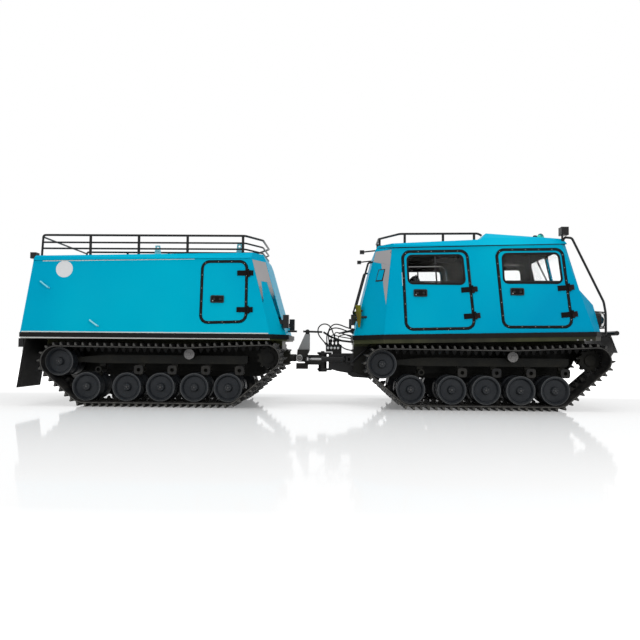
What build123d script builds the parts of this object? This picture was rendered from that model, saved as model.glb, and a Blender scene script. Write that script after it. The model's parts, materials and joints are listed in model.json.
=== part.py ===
"""An articulated tracked all terrain vehicle: two cars on rubber tracks, with a hydraulic steering joint.

Millimetres. +X is forward, +Y is to the left, +Z is up. The ground is Z 0 and the origin lies under the
middle of the vehicle. Right-hand pieces are drawn, and left-hand ones are mirrored from them.
"""
from build123d import *
from math import atan2, ceil, cos, hypot, pi, radians, sin, tan
import os

# Running clearances
pin_gap = 0.3            # round a pin that turns in its bore
rest_gap = 0.3           # between pieces that seat on each other but belong to different bodies
door_gap = 6.0           # all round a door, at its edge

# Tracks
track_width = 620.0
track_outer_y = 935.0    # outer edge of a track, from the middle plane
belt_thick = 20.0
lug_height = 40.0
lug_pitch = 87.0
lug_base = 38.0
lug_tip = 18.0
lug_lean = 9.0           # how far a lug's tip leads its base

# Wheels, as places in the front car. The rear car has the same set, one car spacing behind
car_spacing = 3880.0
wheel_radius = 173.0
wheel_xs = [1104.0, 1591.0, 1997.0, 2403.0, 2809.0]
idler_x, idler_z, idler_radius = 767.0, 532.0, 172.0
sprocket_x, sprocket_z, sprocket_radius = 3274.0, 594.0, 142.0
roller_x, roller_z, roller_radius = 2326.0, 630.0, 64.0
wheel_face_y = 831.0     # outer face of a twin wheel
disc_width = 150.0
twin_gap = 112.0
axle_radius = 26.0
axle_cap_share = 0.8     # how much of a wheel's width lies outside its axle's end
arm_thick = 50.0
arm_eye_dx, arm_eye_dz = 130.0, 205.0
arm_eye_radius = 38.0
arm_eye_bore = 22.0
beam_z_low, beam_z_high = 512.0, 613.0
beam_x_rear, beam_x_front = 860.0, 3020.0
beam_thick = 100.0
cross_tube_radius = 45.0
sprocket_teeth = 11
sprocket_disc = 85.0

# Hull and sponsons
tub_half = 290.0
tub_wall = 20.0
tub_bottom_z = 350.0
tub_chamfer = 60.0
sponson_half = 895.0     # the widths of both bodies follow it
front_sponson_deep = 104.0
rear_sponson_deep = 72.0
strip_high = 54.0
strip_thick = 15.0

# Walls of both bodies
wall = 28.0
roof_wall = 25.0
lean_in = 0.09           # how far a side wall leans in, per mm of height
lean_z = 880.0           # height at which its half width is sponson_half
skin_reach = sponson_half + 105
past_sides = 1000.0      # beyond either side of the vehicle
past_ends = 5000.0       # beyond either end of it
deck_thick = 18.0        # the load floor's plate
deck_edge = 14.0         # between the load floor and the walls round it
glass_thick = 6.0
glass_inset = 9.0

# Front body outline, seen from the side, as (x, z)
front_floor = [(436.0, 875.5), (3372.0, 938.5)]
front_nose = [(3342.0, 1174.0), (3326.0, 1267.0), (3099.0, 1432.0)]
front_gutter = [(2975.0, 1994.0), (693.0, 1929.0)]
front_roof_line = [(720.0, 1975.0), (1947.0, 2048.0), (2050.0, 2148.0), (2950.0, 2062.0)]
front_roof_section = [(sponson_half - 75, 1900.0), (sponson_half - 83, 1965.0), (sponson_half - 195, 2075.0),
                      (sponson_half - 335, 2165.0)]
front_facet = [(441.0, sponson_half - 335, 883.0), (784.0, sponson_half - 1, 883.0),
               (892.0, sponson_half - 99, 1986.0)]
nose_facet = [(3371.0, sponson_half - 125, 900.0), (3262.0, sponson_half - 2, 900.0),
              (2905.0, sponson_half - 99, 1990.0)]
front_plan = [(436.0, sponson_half - 335), (776.0, sponson_half), (3262.0, sponson_half),
              (3371.0, sponson_half - 125)]
front_strip_z = [848.0, 911.0]

# Rear body outline
rear_floor = [(-3567.0, 877.0), (-404.0, 877.0)]
rear_gutter = [(-669.0, 1799.0), (-3464.0, 1752.0)]
rear_roof_line = [(-3440.0, 1812.0), (-700.0, 1874.0)]
rear_roof_section = [(sponson_half - 63, 1720.0), (sponson_half - 73, 1795.0), (sponson_half - 160, 1880.0),
                     (sponson_half - 195, 1885.0)]
rear_facet = [(-404.0, sponson_half - 335, 878.0), (-571.0, sponson_half - 2, 878.0),
              (-835.0, sponson_half - 92, 1872.0)]
rear_plan = [(-3648.0, sponson_half - 195), (-3560.0, sponson_half), (-571.0, sponson_half),
             (-384.0, sponson_half - 335)]
rear_strip_z = [850.0, 850.0]

# Doors: corners rear top, front top, front bottom, rear bottom, as (x, z), and the same for their windows
front_door = [(2105.0, 1930.0), (2925.0, 1942.0), (3015.0, 972.0), (2175.0, 964.0)]
front_window = [(2195.0, 1866.0), (2868.0, 1878.0), (2902.0, 1510.0), (2205.0, 1508.0)]
crew_door = [(984.0, 1900.0), (1790.0, 1916.0), (1870.0, 948.0), (1028.0, 927.0)]
crew_window = [(1058.0, 1838.0), (1722.0, 1850.0), (1752.0, 1490.0), (1074.0, 1494.0)]
cargo_door = [(-1420.0, 1765.0), (-848.0, 1772.0), (-843.0, 1006.0), (-1422.0, 988.0)]
tail_door = [(-430.0, 1690.0), (430.0, 1690.0), (430.0, 965.0), (-430.0, 965.0)]
tail_hinge_zs = (1140.0, 1520.0)
tail_handle_y, tail_handle_z = -320.0, 1290.0
door_round = 105.0
window_round = 60.0
bonnet_start = 27.0      # from the windscreen's foot down the slope
bonnet_long = 226.0
bonnet_wide = 1220.0
bonnet_hinge_y = 380.0
handle_long, handle_high, handle_proud = 158.0, 84.0, 22.0
knuckle_radius = 12.0
knuckle_long = 46.0
hinge_pin_radius = 5.0
hinge_stand_off = 14.0   # hinge line outside the skin
hinge_strap_long = 120.0
hinge_strap_high = 62.0
hinge_pad_long = 46.0
hinge_strap_thick = 9.0
hinge_leaf_gap = 1.5     # between a leaf and the other side's knuckle

# Steering joint
yaw_x = 42.0
yaw_z_low, yaw_z_high = 454.0, 640.0
yaw_pin_radius = 24.0
yaw_sleeve_radius = 55.0
pitch_x, pitch_z = -260.0, 588.0
pitch_pin_radius = 22.0
pitch_ring_radius = 52.0
drawbar_half = 120.0
cylinder_front = (360.0, 250.0)
cylinder_rear = (-150.0, 190.0)
cylinder_z = 577.0
cylinder_pin_radius = 14.0
barrel_radius = 32.0
neck_radius = 18.0
gland_long = 26.0
rod_radius = 14.0
barrel_long = 330.0
rod_long = 330.0
eye_radius = 30.0
eye_thick = 40.0
roll_tube_radius = 60.0
post_half = 48.0
conduit_radius = 13.0

# Hoses from the valve block, as routes from the block to the front car
hose_radius = 8.0
bend_share = 0.45
hose_long_loop = [(70, -66, 790), (20, -68, 845), (-20, -72, 906), (-22, -78, 982), (30, -84, 1034),
                  (104, -90, 1034), (156, -96, 982), (178, -102, 912), (208, -108, 844), (246, -114, 780),
                  (300, -122, 728), (364, -130, 700), (418, -134, 692)]
hose_high_arch = [(128, -44, 790), (118, -42, 855), (112, -38, 925), (138, -34, 1000), (200, -28, 1040),
                  (276, -24, 1026), (350, -20, 994), (424, -18, 972)]
hose_low_arch = [(96, 34, 790), (92, 36, 850), (100, 40, 915), (140, 46, 972), (206, 50, 992), (280, 54, 978),
                 (352, 58, 950), (424, 60, 930)]

# Tow clevis behind the rear car, and lifting eyes on its roof
tow_x, tow_z = -3600.0, 700.0
tow_bore = 18.0
tow_gap = 60.0
tow_plate = 22.0
eye_x_places = (-2000.0, -985.0)
lift_eye_y = 630.0
lift_eye_rise = 96.0     # the eye's centre above the roof
lift_eye_bore = 14.0
lift_eye_plate = 20.0


def outward(points):
    """Whether (a, b) points go round anticlockwise: 1 if so, otherwise -1."""
    turn = sum(a0 * b1 - a1 * b0 for (a0, b0), (a1, b1) in zip(points, points[1:] + points[:1]))
    return 1 if turn > 0 else -1


def inset(points, distances):
    """The outline with each edge moved inwards by its own distance, or all by one."""
    if not isinstance(distances, (list, tuple)):
        distances = [distances] * len(points)
    turn = outward(points)
    lines = []
    for (a0, b0), (a1, b1), distance in zip(points, points[1:] + points[:1], distances):
        long = hypot(a1 - a0, b1 - b0)
        across_a, across_b = -(b1 - b0) / long * turn, (a1 - a0) / long * turn
        lines.append((a0 + across_a * distance, b0 + across_b * distance, a1 - a0, b1 - b0))
    moved = []
    for (a, b, da, db), (c, d, dc, dd) in zip(lines[-1:] + lines[:-1], lines):
        share = ((c - a) * dd - (d - b) * dc) / (da * dd - db * dc)
        moved.append((a + share * da, b + share * db))
    return moved


def side_prism(points, y_low, y_high, round_off=0.0):
    """A solid of an (x, z) outline from y_low to y_high, its corners rounded."""
    face = Face(Wire.make_polygon([Vector(x, y_low, z) for x, z in points], close=True))
    if round_off:
        face = face.fillet_2d(round_off, face.vertices())
    return Part() + Solid.extrude(face, Vector(0, y_high - y_low, 0))


def cross_prism(points, x_low, x_high, round_off=0.0):
    """A solid of a (y, z) outline from x_low to x_high, its corners rounded."""
    face = Face(Wire.make_polygon([Vector(x_low, y, z) for y, z in points], close=True))
    if round_off:
        face = face.fillet_2d(round_off, face.vertices())
    return Part() + Solid.extrude(face, Vector(x_high - x_low, 0, 0))


def plan_prism(points, z_low, z_high, round_off=0.0):
    """A solid of an (x, y) outline from z_low to z_high, its corners rounded."""
    face = Face(Wire.make_polygon([Vector(x, y, z_low) for x, y in points], close=True))
    if round_off:
        face = face.fillet_2d(round_off, face.vertices())
    return Part() + Solid.extrude(face, Vector(0, 0, z_high - z_low))


def block(x_low, x_high, y_low, y_high, z_low, z_high):
    """A box between two corners."""
    return plan_prism([(x_low, y_low), (x_high, y_low), (x_high, y_high), (x_low, y_high)], z_low, z_high)


def rod(start, end, radius):
    """A round bar from start to end."""
    start = Vector(start)
    end = Vector(end)
    return Part() + Solid.make_cylinder(radius, (end - start).length, Plane(start, z_dir=end - start))


def pipe(points, radius, bend):
    """A round bar along straight runs, with a bend at each inner point."""
    path = FilletPolyline(*points, radius=bend)
    start = Plane(path @ 0, z_dir=path % 0)
    return Part() + sweep(start * Circle(radius), path=path)


def both_sides(shape):
    """The right-hand piece and its mirror image."""
    return [shape, mirror(shape, about=Plane.XZ)]


def mirrored(points):
    """A half outline of (a, b) points with its mirror image in a = 0, as one closed outline."""
    return points + [(-a, b) for a, b in reversed(points)]


def mirrored_plan(points):
    """A half plan of (x, y) points, closed by its mirror image in y = 0."""
    return points + [(x, -y) for x, y in reversed(points)]


def plate_on(plane, long, high, thick, start=0.0):
    """A box on a plane, centred on its origin, from start above it and thick."""
    corner = Location((-long / 2, -high / 2, start))
    return Part() + Solid.make_box(long, high, thick).moved(plane.location * corner)


def facet_cutter(points, side, depth):
    """What lies outside the plane of three (x, y, z) points on one side, the plane moved inwards by depth."""
    a, b, c = [Vector(x, side * y, z) for x, y, z in points]
    normal = (b - a).cross(c - a).normalized()
    if normal.Y * side < 0:
        normal = normal * -1
    return plate_on(Plane(a - normal * depth, z_dir=normal), 4000, 4000, 900)


def line_height(line, x):
    """Height at x of a line of (x, z) points."""
    for (x0, z0), (x1, z1) in zip(line, line[1:]):
        if x <= x1:
            break
    return z0 + (z1 - z0) * (x - x0) / (x1 - x0)


def half_width(z):
    """Half the width of a body's side walls at height z."""
    return sponson_half - lean_in * (z - lean_z)


def save(name, *shapes):
    """Writes the solids of one sub-part."""
    solids = [solid for shape in shapes for solid in shape.solids()]
    export_step(Compound(solids) if len(solids) > 1 else solids[0], f"parts/{name}.step")


def seated(shape, *carriers):
    """The shape cut back to the surface of what carries it."""
    for carrier in carriers:
        shape = shape - carrier
    return shape


def hose(points):
    """A hose along its route, each bend as large as its two runs allow; prints the bends' radii."""
    route = [Vector(point) for point in points]
    radii = []
    for before, corner, after in zip(route, route[1:], route[2:]):
        half_turn = radians((corner - before).get_angle(after - corner)) / 2
        radii.append(bend_share * min((corner - before).length, (after - corner).length) / tan(half_turn))
    path = FilletPolyline(*route, radius=radii)
    tube = Part() + sweep(Plane(path @ 0, z_dir=path % 0) * Circle(hose_radius), path=path)
    section = pi * hose_radius ** 2
    print("hose radii", [round(radius) for radius in radii], "length", round(path.length),
          "volume share", round(tube.volume / (section * path.length), 4))
    return tube


def gland(start, end):
    """A hexagon-sized collar where a hose's end is screwed in, from the metal at start to the hose at end."""
    start = Vector(start)
    end = Vector(end)
    middle = start + (end - start) * 0.6
    return rod(start, middle, hose_radius * 1.9) + rod(middle, end, hose_radius * 1.4)


# Bodies: a side outline, a cross section and corner facets, each moved inwards together for the inner form

def body_form(outline, facets, depths, depth, z_top):
    """The form of a body moved inwards by depth; depths says how far each edge of its side outline moves."""
    section = [(half_width(lean_z - 60), lean_z - 60), (half_width(z_top), z_top)]
    form = side_prism(inset(outline, depths), -past_sides, past_sides)
    form = form & cross_prism(inset(mirrored(section), [depth, 0, depth, 0]), -past_ends, past_ends)
    for points in facets:
        for side in (-1, 1):
            form = form - facet_cutter(points, side, depth)
    return form


def front_form(depth, floor_depth=None, top_depth=0.0):
    """The front body moved inwards by depth, its floor by floor_depth and its open top by top_depth."""
    outline = front_floor + front_nose + front_gutter
    floor_depth = depth if floor_depth is None else floor_depth
    depths = [floor_depth] + [depth] * 4 + [top_depth] + [depth]
    return body_form(outline, [front_facet, nose_facet], depths, depth, 2200.0)


def rear_form(depth, floor_depth=None, top_depth=0.0):
    """The rear body moved inwards in the same way."""
    outline = rear_floor + rear_gutter
    floor_depth = depth if floor_depth is None else floor_depth
    return body_form(outline, [rear_facet], [floor_depth, depth, top_depth, depth], depth, 2100.0)


def roof_form(gutter, line, section, facets, depth, edge_depth):
    """A roof over its gutter line, moved inwards by depth, its open underside by edge_depth."""
    outline = [gutter[1]] + line + [gutter[0]]
    depths = [depth] * (len(line) + 1) + [edge_depth]
    form = side_prism(inset(outline, depths), -past_sides, past_sides)
    form = form & cross_prism(inset(mirrored(section), depth), -past_ends, past_ends)
    for points in facets:
        for side in (-1, 1):
            form = form - facet_cutter(points, side, depth)
    return form


def roof_shell(gutter, line, section, facets):
    """A roof panel of even thickness, open below."""
    return (roof_form(gutter, line, section, facets, 0, 0)
            - roof_form(gutter, line, section, facets, roof_wall, -80.0))


# Doors

def skin_point(x, z, out=0.0):
    """A point on the right-hand skin at x and z, or out from it."""
    tilt = hypot(1, lean_in)
    return Vector(x, -half_width(z) - out / tilt, z + out * lean_in / tilt)


def skin_plane(x, z):
    """A plane on the right-hand skin: its x forward, its y up, its z outwards."""
    return Plane(skin_point(x, z), x_dir=(1, 0, 0), z_dir=(0, -1, lean_in))


def hinge_line(corners):
    """Two points on the hinge line of a side door, low and high, just ahead of its front edge."""
    (_, _), (top_x, top_z), (low_x, low_z), (_, _) = corners
    ahead = door_gap / 2
    low = skin_point(low_x + ahead, low_z, hinge_stand_off)
    return low, skin_point(top_x + ahead, top_z, hinge_stand_off)


def side_hinge(corners, z):
    """A side door's hinge at height z."""
    low, high = hinge_line(corners)
    along = (high - low).normalized()
    return hinge(low + along * ((z - low.Z) / along.Z), along, Vector(0, -1, lean_in).normalized())


def hinge(centre, along, out):
    """A hinge on its line, on a skin that faces out: the door's side, and the body's side with the pin.

    The body lies on the side of along x out, so that the door opens outwards by a positive turn about along.
    """
    body_way = along.cross(out).normalized()
    upper = centre + along * knuckle_long
    lower = centre - along * knuckle_long
    split = along * (rest_gap / 2)
    pin = rod(lower, upper - along * 4, hinge_pin_radius)
    clear = rod(lower - along, upper + along, hinge_pin_radius + pin_gap)
    door_knuckle = rod(centre + split, upper, knuckle_radius) - clear
    body_knuckle = rod(lower, centre - split, knuckle_radius)
    skin = centre - out * hinge_stand_off
    clear_of_knuckle = knuckle_radius + hinge_leaf_gap
    leaves = []
    for way, long in ((-1, hinge_strap_long), (1, hinge_pad_long)):
        middle = skin + body_way * way * (clear_of_knuckle + long / 2)
        plane = Plane(middle, x_dir=body_way, z_dir=out)
        leaves.append(plate_on(plane, long, hinge_strap_high, hinge_strap_thick))
    web = knuckle_radius * 0.6
    door_web = rod(centre + split, upper, web).moved(Location(body_way * -hinge_stand_off)) - clear
    body_web = rod(lower, centre - split, web).moved(Location(body_way * hinge_stand_off))
    return leaves[0] + door_web + door_knuckle, leaves[1] + body_web + body_knuckle + pin


def paddle_handle(plane):
    """A flush handle on a plane: a dished plate with a paddle bar across it."""
    plate = plate_on(plane, handle_long, handle_high, handle_proud * 0.5)
    dish = plate_on(plane, handle_long * 0.8, handle_high * 0.6, handle_proud, 3.0)
    bar = plate_on(plane, handle_long * 0.3, handle_high * 0.7, handle_proud)
    return plate - dish + bar


def side_door(skin_wall, corners, window, handle, hinge_zs):
    """A right-hand door cut from the body's wall: the door with its fittings, its glass, the body leaves."""
    round_off = door_round - door_gap
    panel = skin_wall & side_prism(inset(corners, door_gap), -skin_reach, -skin_reach + 400, round_off)
    glass = None
    if window:
        opening = side_prism(window, -skin_reach, -skin_reach + 400, window_round)
        panel = panel - opening
        glass = opening
    panel = panel + paddle_handle(skin_plane(*handle))
    leaves = []
    for z in hinge_zs:
        door_side, body_side = side_hinge(corners, z)
        panel = panel + door_side
        leaves.append(body_side)
    return panel, glass, leaves


# Tracks and wheels

def tangent_points(first, second):
    """Where a belt leaves one circle and meets the next; circles are (x, z, r), the belt goes clockwise."""
    (x0, z0, r0), (x1, z1, r1) = first, second
    apart = hypot(x1 - x0, z1 - z0)
    heading = atan2(z1 - z0, x1 - x0)
    swing = heading + pi / 2 + atan2(r1 - r0, apart)
    leave = (x0 + r0 * cos(swing), z0 + r0 * sin(swing), swing)
    return leave, (x1 + r1 * cos(swing), z1 + r1 * sin(swing), swing)


def belt_spans(grow):
    """The belt's path round its wheels as lines and arcs, grow outside the wheels' surfaces."""
    rear_wheel, front_wheel = wheel_xs[0], wheel_xs[-1]
    circles = [(idler_x, idler_z, idler_radius + grow),
               (roller_x, roller_z + roller_radius + grow, 0.0),
               (sprocket_x, sprocket_z, sprocket_radius + grow),
               (front_wheel, ground_wheel_z(), wheel_radius + grow),
               (rear_wheel, ground_wheel_z(), wheel_radius + grow)]
    joins = [tangent_points(one, two) for one, two in zip(circles, circles[1:] + circles[:1])]
    spans = []
    for index, (leave, meet) in enumerate(joins):
        spans.append(("line", leave[:2], meet[:2]))
        x, z, r = circles[(index + 1) % len(circles)]
        next_leave = joins[(index + 1) % len(joins)][0]
        turn = (meet[2] - next_leave[2]) % (2 * pi)
        spans.append(("arc", (x, z, r), meet[2], turn if turn < pi * 1.5 else 0.0))
    return spans


def ground_wheel_z():
    """Height of a road wheel's centre."""
    return lug_height + belt_thick + wheel_radius


def span_length(span):
    """Length of one line or arc."""
    if span[0] == "line":
        return hypot(span[2][0] - span[1][0], span[2][1] - span[1][1])
    return span[1][2] * span[3]


def along_belt(spans, distance):
    """Place and outward direction at a distance along the belt."""
    for span in spans:
        long = span_length(span)
        if distance <= long:
            break
        distance -= long
    if span[0] == "line":
        (x0, z0), (x1, z1) = span[1:]
        heading = atan2(z1 - z0, x1 - x0)
        return x0 + distance * cos(heading), z0 + distance * sin(heading), heading + pi / 2
    (x, z, r), start, _ = span[1:]
    angle = start - distance / r
    return x + r * cos(angle), z + r * sin(angle), angle


def track_loop():
    """One track seen from the side: an outer outline with a lug at every pitch, and the inner outline."""
    outer_spans = belt_spans(belt_thick)
    total = sum(span_length(span) for span in outer_spans)
    count = round(total / lug_pitch)
    pitch = total / count
    outer = []
    for index in range(count):
        at = index * pitch
        for offset, height in ((-lug_base / 2, 0), (-lug_tip / 2 - lug_lean, lug_height),
                               (lug_tip / 2 - lug_lean, lug_height), (lug_base / 2, 0)):
            x, z, out = along_belt(outer_spans, (at + offset) % total)
            outer.append((x + height * cos(out), z + height * sin(out)))
    inner = []
    for span in belt_spans(rest_gap):
        if span[0] == "line":
            inner += [span[1], span[2]]
            continue
        (x, z, r), start, turn = span[1:]
        steps = max(1, ceil(turn / radians(30)))
        step = turn / steps
        for index in range(steps):
            angle = start - step * (index + 0.5)
            inner.append((x + r / cos(step / 2) * cos(angle), z + r / cos(step / 2) * sin(angle)))
    kept = [point for point, before in zip(inner, inner[-1:] + inner[:-1])
            if hypot(point[0] - before[0], point[1] - before[1]) > 0.5]
    return outer, kept


def settle(outer):
    """The outer outline with its lowest lug tips level on the ground."""
    return [(x, 0.0 if abs(z) < 1.0 else z) for x, z in outer]


def track(shift):
    """A right-hand track, shifted along X."""
    outer, inner = track_loop()
    y_low, y_high = -track_outer_y, -track_outer_y + track_width
    loop = side_prism([(x + shift, z) for x, z in settle(outer)], y_low, y_high)
    return loop - side_prism([(x + shift, z) for x, z in inner], y_low - 1, y_high + 1)


def twin_wheel(x, z, radius):
    """A right-hand twin wheel: two dished discs on one hub, with the gap for the guide horns between them."""
    outer_y = wheel_face_y
    back_y = outer_y - disc_width
    inner_y = back_y - twin_gap
    dish = disc_width * 0.22
    bore = axle_radius + pin_gap
    cap_y = outer_y - disc_width * axle_cap_share
    profile = [(0, outer_y + 4), (radius * 0.24, outer_y + 4), (radius * 0.30, outer_y - dish),
               (radius * 0.74, outer_y - dish), (radius * 0.84, outer_y), (radius, outer_y),
               (radius, back_y), (bore, back_y), (bore, cap_y), (0, cap_y)]
    inner = [(bore, inner_y), (radius, inner_y), (radius, inner_y - disc_width), (bore, inner_y - disc_width)]
    discs = []
    for points in (profile, inner):
        face = Face(Wire.make_polygon([Vector(x + r, -y, z) for r, y in points], close=True))
        discs.append(Part() + revolve(face, axis=Axis((x, 0, z), (0, 1, 0))))
    return discs


def middle_y():
    """Middle of a twin wheel, from the middle plane."""
    return wheel_face_y - disc_width - twin_gap / 2


def sprocket(shift):
    """A right-hand sprocket: a toothed disc with a domed hub."""
    x, z = sprocket_x + shift, sprocket_z
    root, tip = sprocket_radius - 26.0, sprocket_radius - 1.5
    points = []
    for tooth in range(sprocket_teeth):
        for share, radius in ((-0.30, root), (-0.13, tip), (0.13, tip), (0.30, root)):
            angle = 2 * pi * (tooth + share) / sprocket_teeth
            points.append((x + radius * cos(angle), z + radius * sin(angle)))
    y_out = -middle_y() + sprocket_disc / 2
    disc = side_prism(points, y_out - sprocket_disc, y_out)
    hub = rod((x, y_out - sprocket_disc - 26, z), (x, y_out + 40, z), sprocket_radius * 0.46)
    return disc + hub


def wheel_axle(x, z):
    """The axle of a twin wheel, from inside its outer disc through its inner one."""
    start = -wheel_face_y + disc_width * axle_cap_share + rest_gap
    return rod((x, start, z), (x, -wheel_face_y + 2 * disc_width + twin_gap, z), axle_radius)


def arm_with_eye(x, z):
    """A trailing arm from the beam's bracket down to a wheel's axle, in the middle of a twin wheel."""
    y_low = -middle_y() - arm_thick / 2
    y_high = y_low + arm_thick
    eye_x, eye_z = x + arm_eye_dx, z + arm_eye_dz
    slope = atan2(eye_z - z, eye_x - x)
    across_x, across_z = -sin(slope) * 26, cos(slope) * 26
    bar_outline = [(x + across_x, z + across_z), (x - across_x, z - across_z),
                   (eye_x - across_x, eye_z - across_z), (eye_x + across_x, eye_z + across_z)]
    bar = side_prism(bar_outline, y_low, y_high)
    axle = wheel_axle(x, z)
    boss = rod((x, y_low, z), (x, y_high, z), axle_radius * 1.7)
    eye = rod((eye_x, -wheel_face_y + 30, eye_z), (eye_x, y_high, eye_z), arm_eye_radius)
    hole = rod((eye_x, -wheel_face_y, eye_z), (eye_x, -wheel_face_y + 90, eye_z), arm_eye_bore)
    bracket = side_prism([(eye_x - 40, beam_z_low + 5), (eye_x + 40, beam_z_low + 5),
                          (eye_x + 24, eye_z), (eye_x - 24, eye_z)], y_low, y_high)
    return bar + axle + boss + eye + bracket - hole


def track_frame(shift):
    """A right-hand track frame: a tapered beam, its arms and its idler arm, return roller and cross tubes."""
    y_low = -middle_y() - beam_thick / 2
    y_high = y_low + beam_thick
    rear, front = beam_x_rear + shift, beam_x_front + shift
    beam = side_prism([(rear, beam_z_low + 18), (rear + 330, beam_z_low), (front - 30, beam_z_low),
                       (front, beam_z_low + 30), (front, beam_z_high), (rear + 420, beam_z_high),
                       (rear, beam_z_low + 62)], y_low, y_high)
    frame = beam
    for wheel_x in wheel_xs:
        frame = frame + arm_with_eye(wheel_x + shift, ground_wheel_z())
    x, z = idler_x + shift, idler_z
    arm_low = -middle_y() - arm_thick / 2
    idler_arm = [(x - 30, z + 34), (x - 30, z - 34), (rear + 120, beam_z_low), (rear + 120, beam_z_low + 60)]
    frame = frame + side_prism(idler_arm, arm_low, arm_low + arm_thick)
    frame = frame + wheel_axle(x, z)
    for tube_x in (wheel_xs[1] - 240 + shift, wheel_xs[3] + 180 + shift):
        frame = frame + rod((tube_x, y_high - 4, 560), (tube_x, -tub_half - rest_gap, 560), cross_tube_radius)
    roller = roller_x + shift
    for y0, y1 in ((y_low - 12 - 90, y_low - 12), (y_high + 12, y_high + 102)):
        frame = frame + rod((roller, y0, roller_z), (roller, y1, roller_z), roller_radius)
    frame = frame + rod((roller, y_low - 13, roller_z), (roller, y_high + 13, roller_z), 24)
    roller_post = [(roller - 30, beam_z_high - 5), (roller + 30, beam_z_high - 5),
                   (roller + 24, roller_z + 24), (roller - 24, roller_z + 24)]
    frame = frame + side_prism(roller_post, y_low + 20, y_high - 20)
    return frame


def running_gear(car, shift):
    """Writes one car's wheels, frames and tracks, which are one fixed body with it."""
    frame = track_frame(shift)
    wheels = [disc for x in wheel_xs for disc in twin_wheel(x + shift, ground_wheel_z(), wheel_radius)]
    idler = twin_wheel(idler_x + shift, idler_z, idler_radius)
    drive = sprocket(shift)
    shaft_x = sprocket_x + shift
    shaft_end = -middle_y() + sprocket_disc / 2 + 40
    drive = drive + rod((shaft_x, shaft_end - 1, sprocket_z), (shaft_x, -tub_half - rest_gap, sprocket_z), 50)
    save(f"{car}_track_frames", *both_sides(frame))
    save(f"{car}_wheels", *[side for disc in wheels + idler for side in both_sides(disc)])
    save(f"{car}_sprockets", *both_sides(drive))
    right = track(shift)
    save(f"{car}_right_track", right)
    save(f"{car}_left_track", mirror(right, about=Plane.XZ))


# Hulls

def strip_line(plan, heights, low, high):
    """A side outline along a car's strip, from low to high about its middle line."""
    x_rear, x_front = plan[0][0] - 40, plan[-1][0] + 40
    span = plan[-1][0] - plan[0][0]
    slope = (heights[1] - heights[0]) / span
    z_rear, z_front = heights[0] - 40 * slope, heights[1] + 40 * slope
    lower = [(x_rear, z_rear + low), (x_front, z_front + low)]
    return lower + [(x_front, z_front + high), (x_rear, z_rear + high)]


def sponsons(plan, heights, deep):
    """The flat upper hull over both tracks, deep from its top face down."""
    high = strip_high / 2
    platform = plan_prism(mirrored_plan(plan), 500, 1300)
    return platform & side_prism(strip_line(plan, heights, high - deep, high), -past_sides, past_sides)


def rubbing_strip(plan, heights):
    """The band round the hull's edge."""
    around = mirrored_plan(plan)
    ring = plan_prism(inset(around, -strip_thick), 500, 1300) - plan_prism(around, 400, 1400)
    band = strip_line(plan, heights, -strip_high / 2, strip_high / 2)
    return ring & side_prism(band, -past_sides, past_sides)


def hull(outline, plan, heights, deep, opening=None):
    """A hull: a narrow tub between the tracks under its sponsons, with an opening to the body above."""
    section = [(tub_half, 1300.0), (tub_half, tub_bottom_z + tub_chamfer),
               (tub_half - tub_chamfer, tub_bottom_z)]
    around = mirrored(section)
    tub = side_prism(outline, -past_sides, past_sides) & cross_prism(around, -past_ends, past_ends)
    inner = side_prism(inset(outline, tub_wall), -past_sides, past_sides)
    inner = inner & cross_prism(inset(around, tub_wall), -past_ends, past_ends)
    body = tub + sponsons(plan, heights, deep) - inner
    if opening:
        x_low, x_high = opening
        body = body - block(x_low, x_high, -tub_half + tub_wall, tub_half - tub_wall, 600, 1300)
    return body


front_tub_outline = [(440.0, 800.0), (440.0, 420.0), (640.0, 350.0), (2950.0, 350.0), (3360.0, 700.0),
                     (3360.0, 850.0)]
rear_tub_outline = [(-3540.0, 830.0), (-3540.0, 620.0), (-3250.0, 350.0), (-760.0, 350.0), (-470.0, 520.0),
                    (-470.0, 830.0)]


def bonnet_plane():
    """A plane on the sloping bonnet, its x down the slope and its z outwards."""
    (low_x, low_z), (high_x, high_z) = front_nose[-2:]
    slope = Vector(low_x - high_x, 0, low_z - high_z).normalized()
    centre = Vector(high_x, 0, high_z) + slope * bonnet_start + slope * (bonnet_long / 2)
    return Plane(centre, x_dir=slope, z_dir=(-slope.Z, 0, slope.X))


def bonnet_prism(less):
    """The opening under the bonnet, square to its slope, smaller all round by less."""
    plane = bonnet_plane()
    sketch = plane.offset(-80) * RectangleRounded(bonnet_long - 2 * less, bonnet_wide - 2 * less, 40 - less)
    return Part() + extrude(sketch, amount=140)


def bonnet_hinge_point(y):
    """A point on the bonnet's hinge line, just behind its upper edge."""
    plane = bonnet_plane()
    behind = bonnet_long / 2 + door_gap / 2
    return plane.origin - plane.x_dir * behind + plane.z_dir * hinge_stand_off + Vector(0, y, 0)


def cabin_floor(x):
    """Height of the cabin floor's top face at x."""
    (x0, z0), (x1, z1) = front_floor
    return line_height(front_floor, x) + wall * hypot(1, (z1 - z0) / (x1 - x0))


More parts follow.
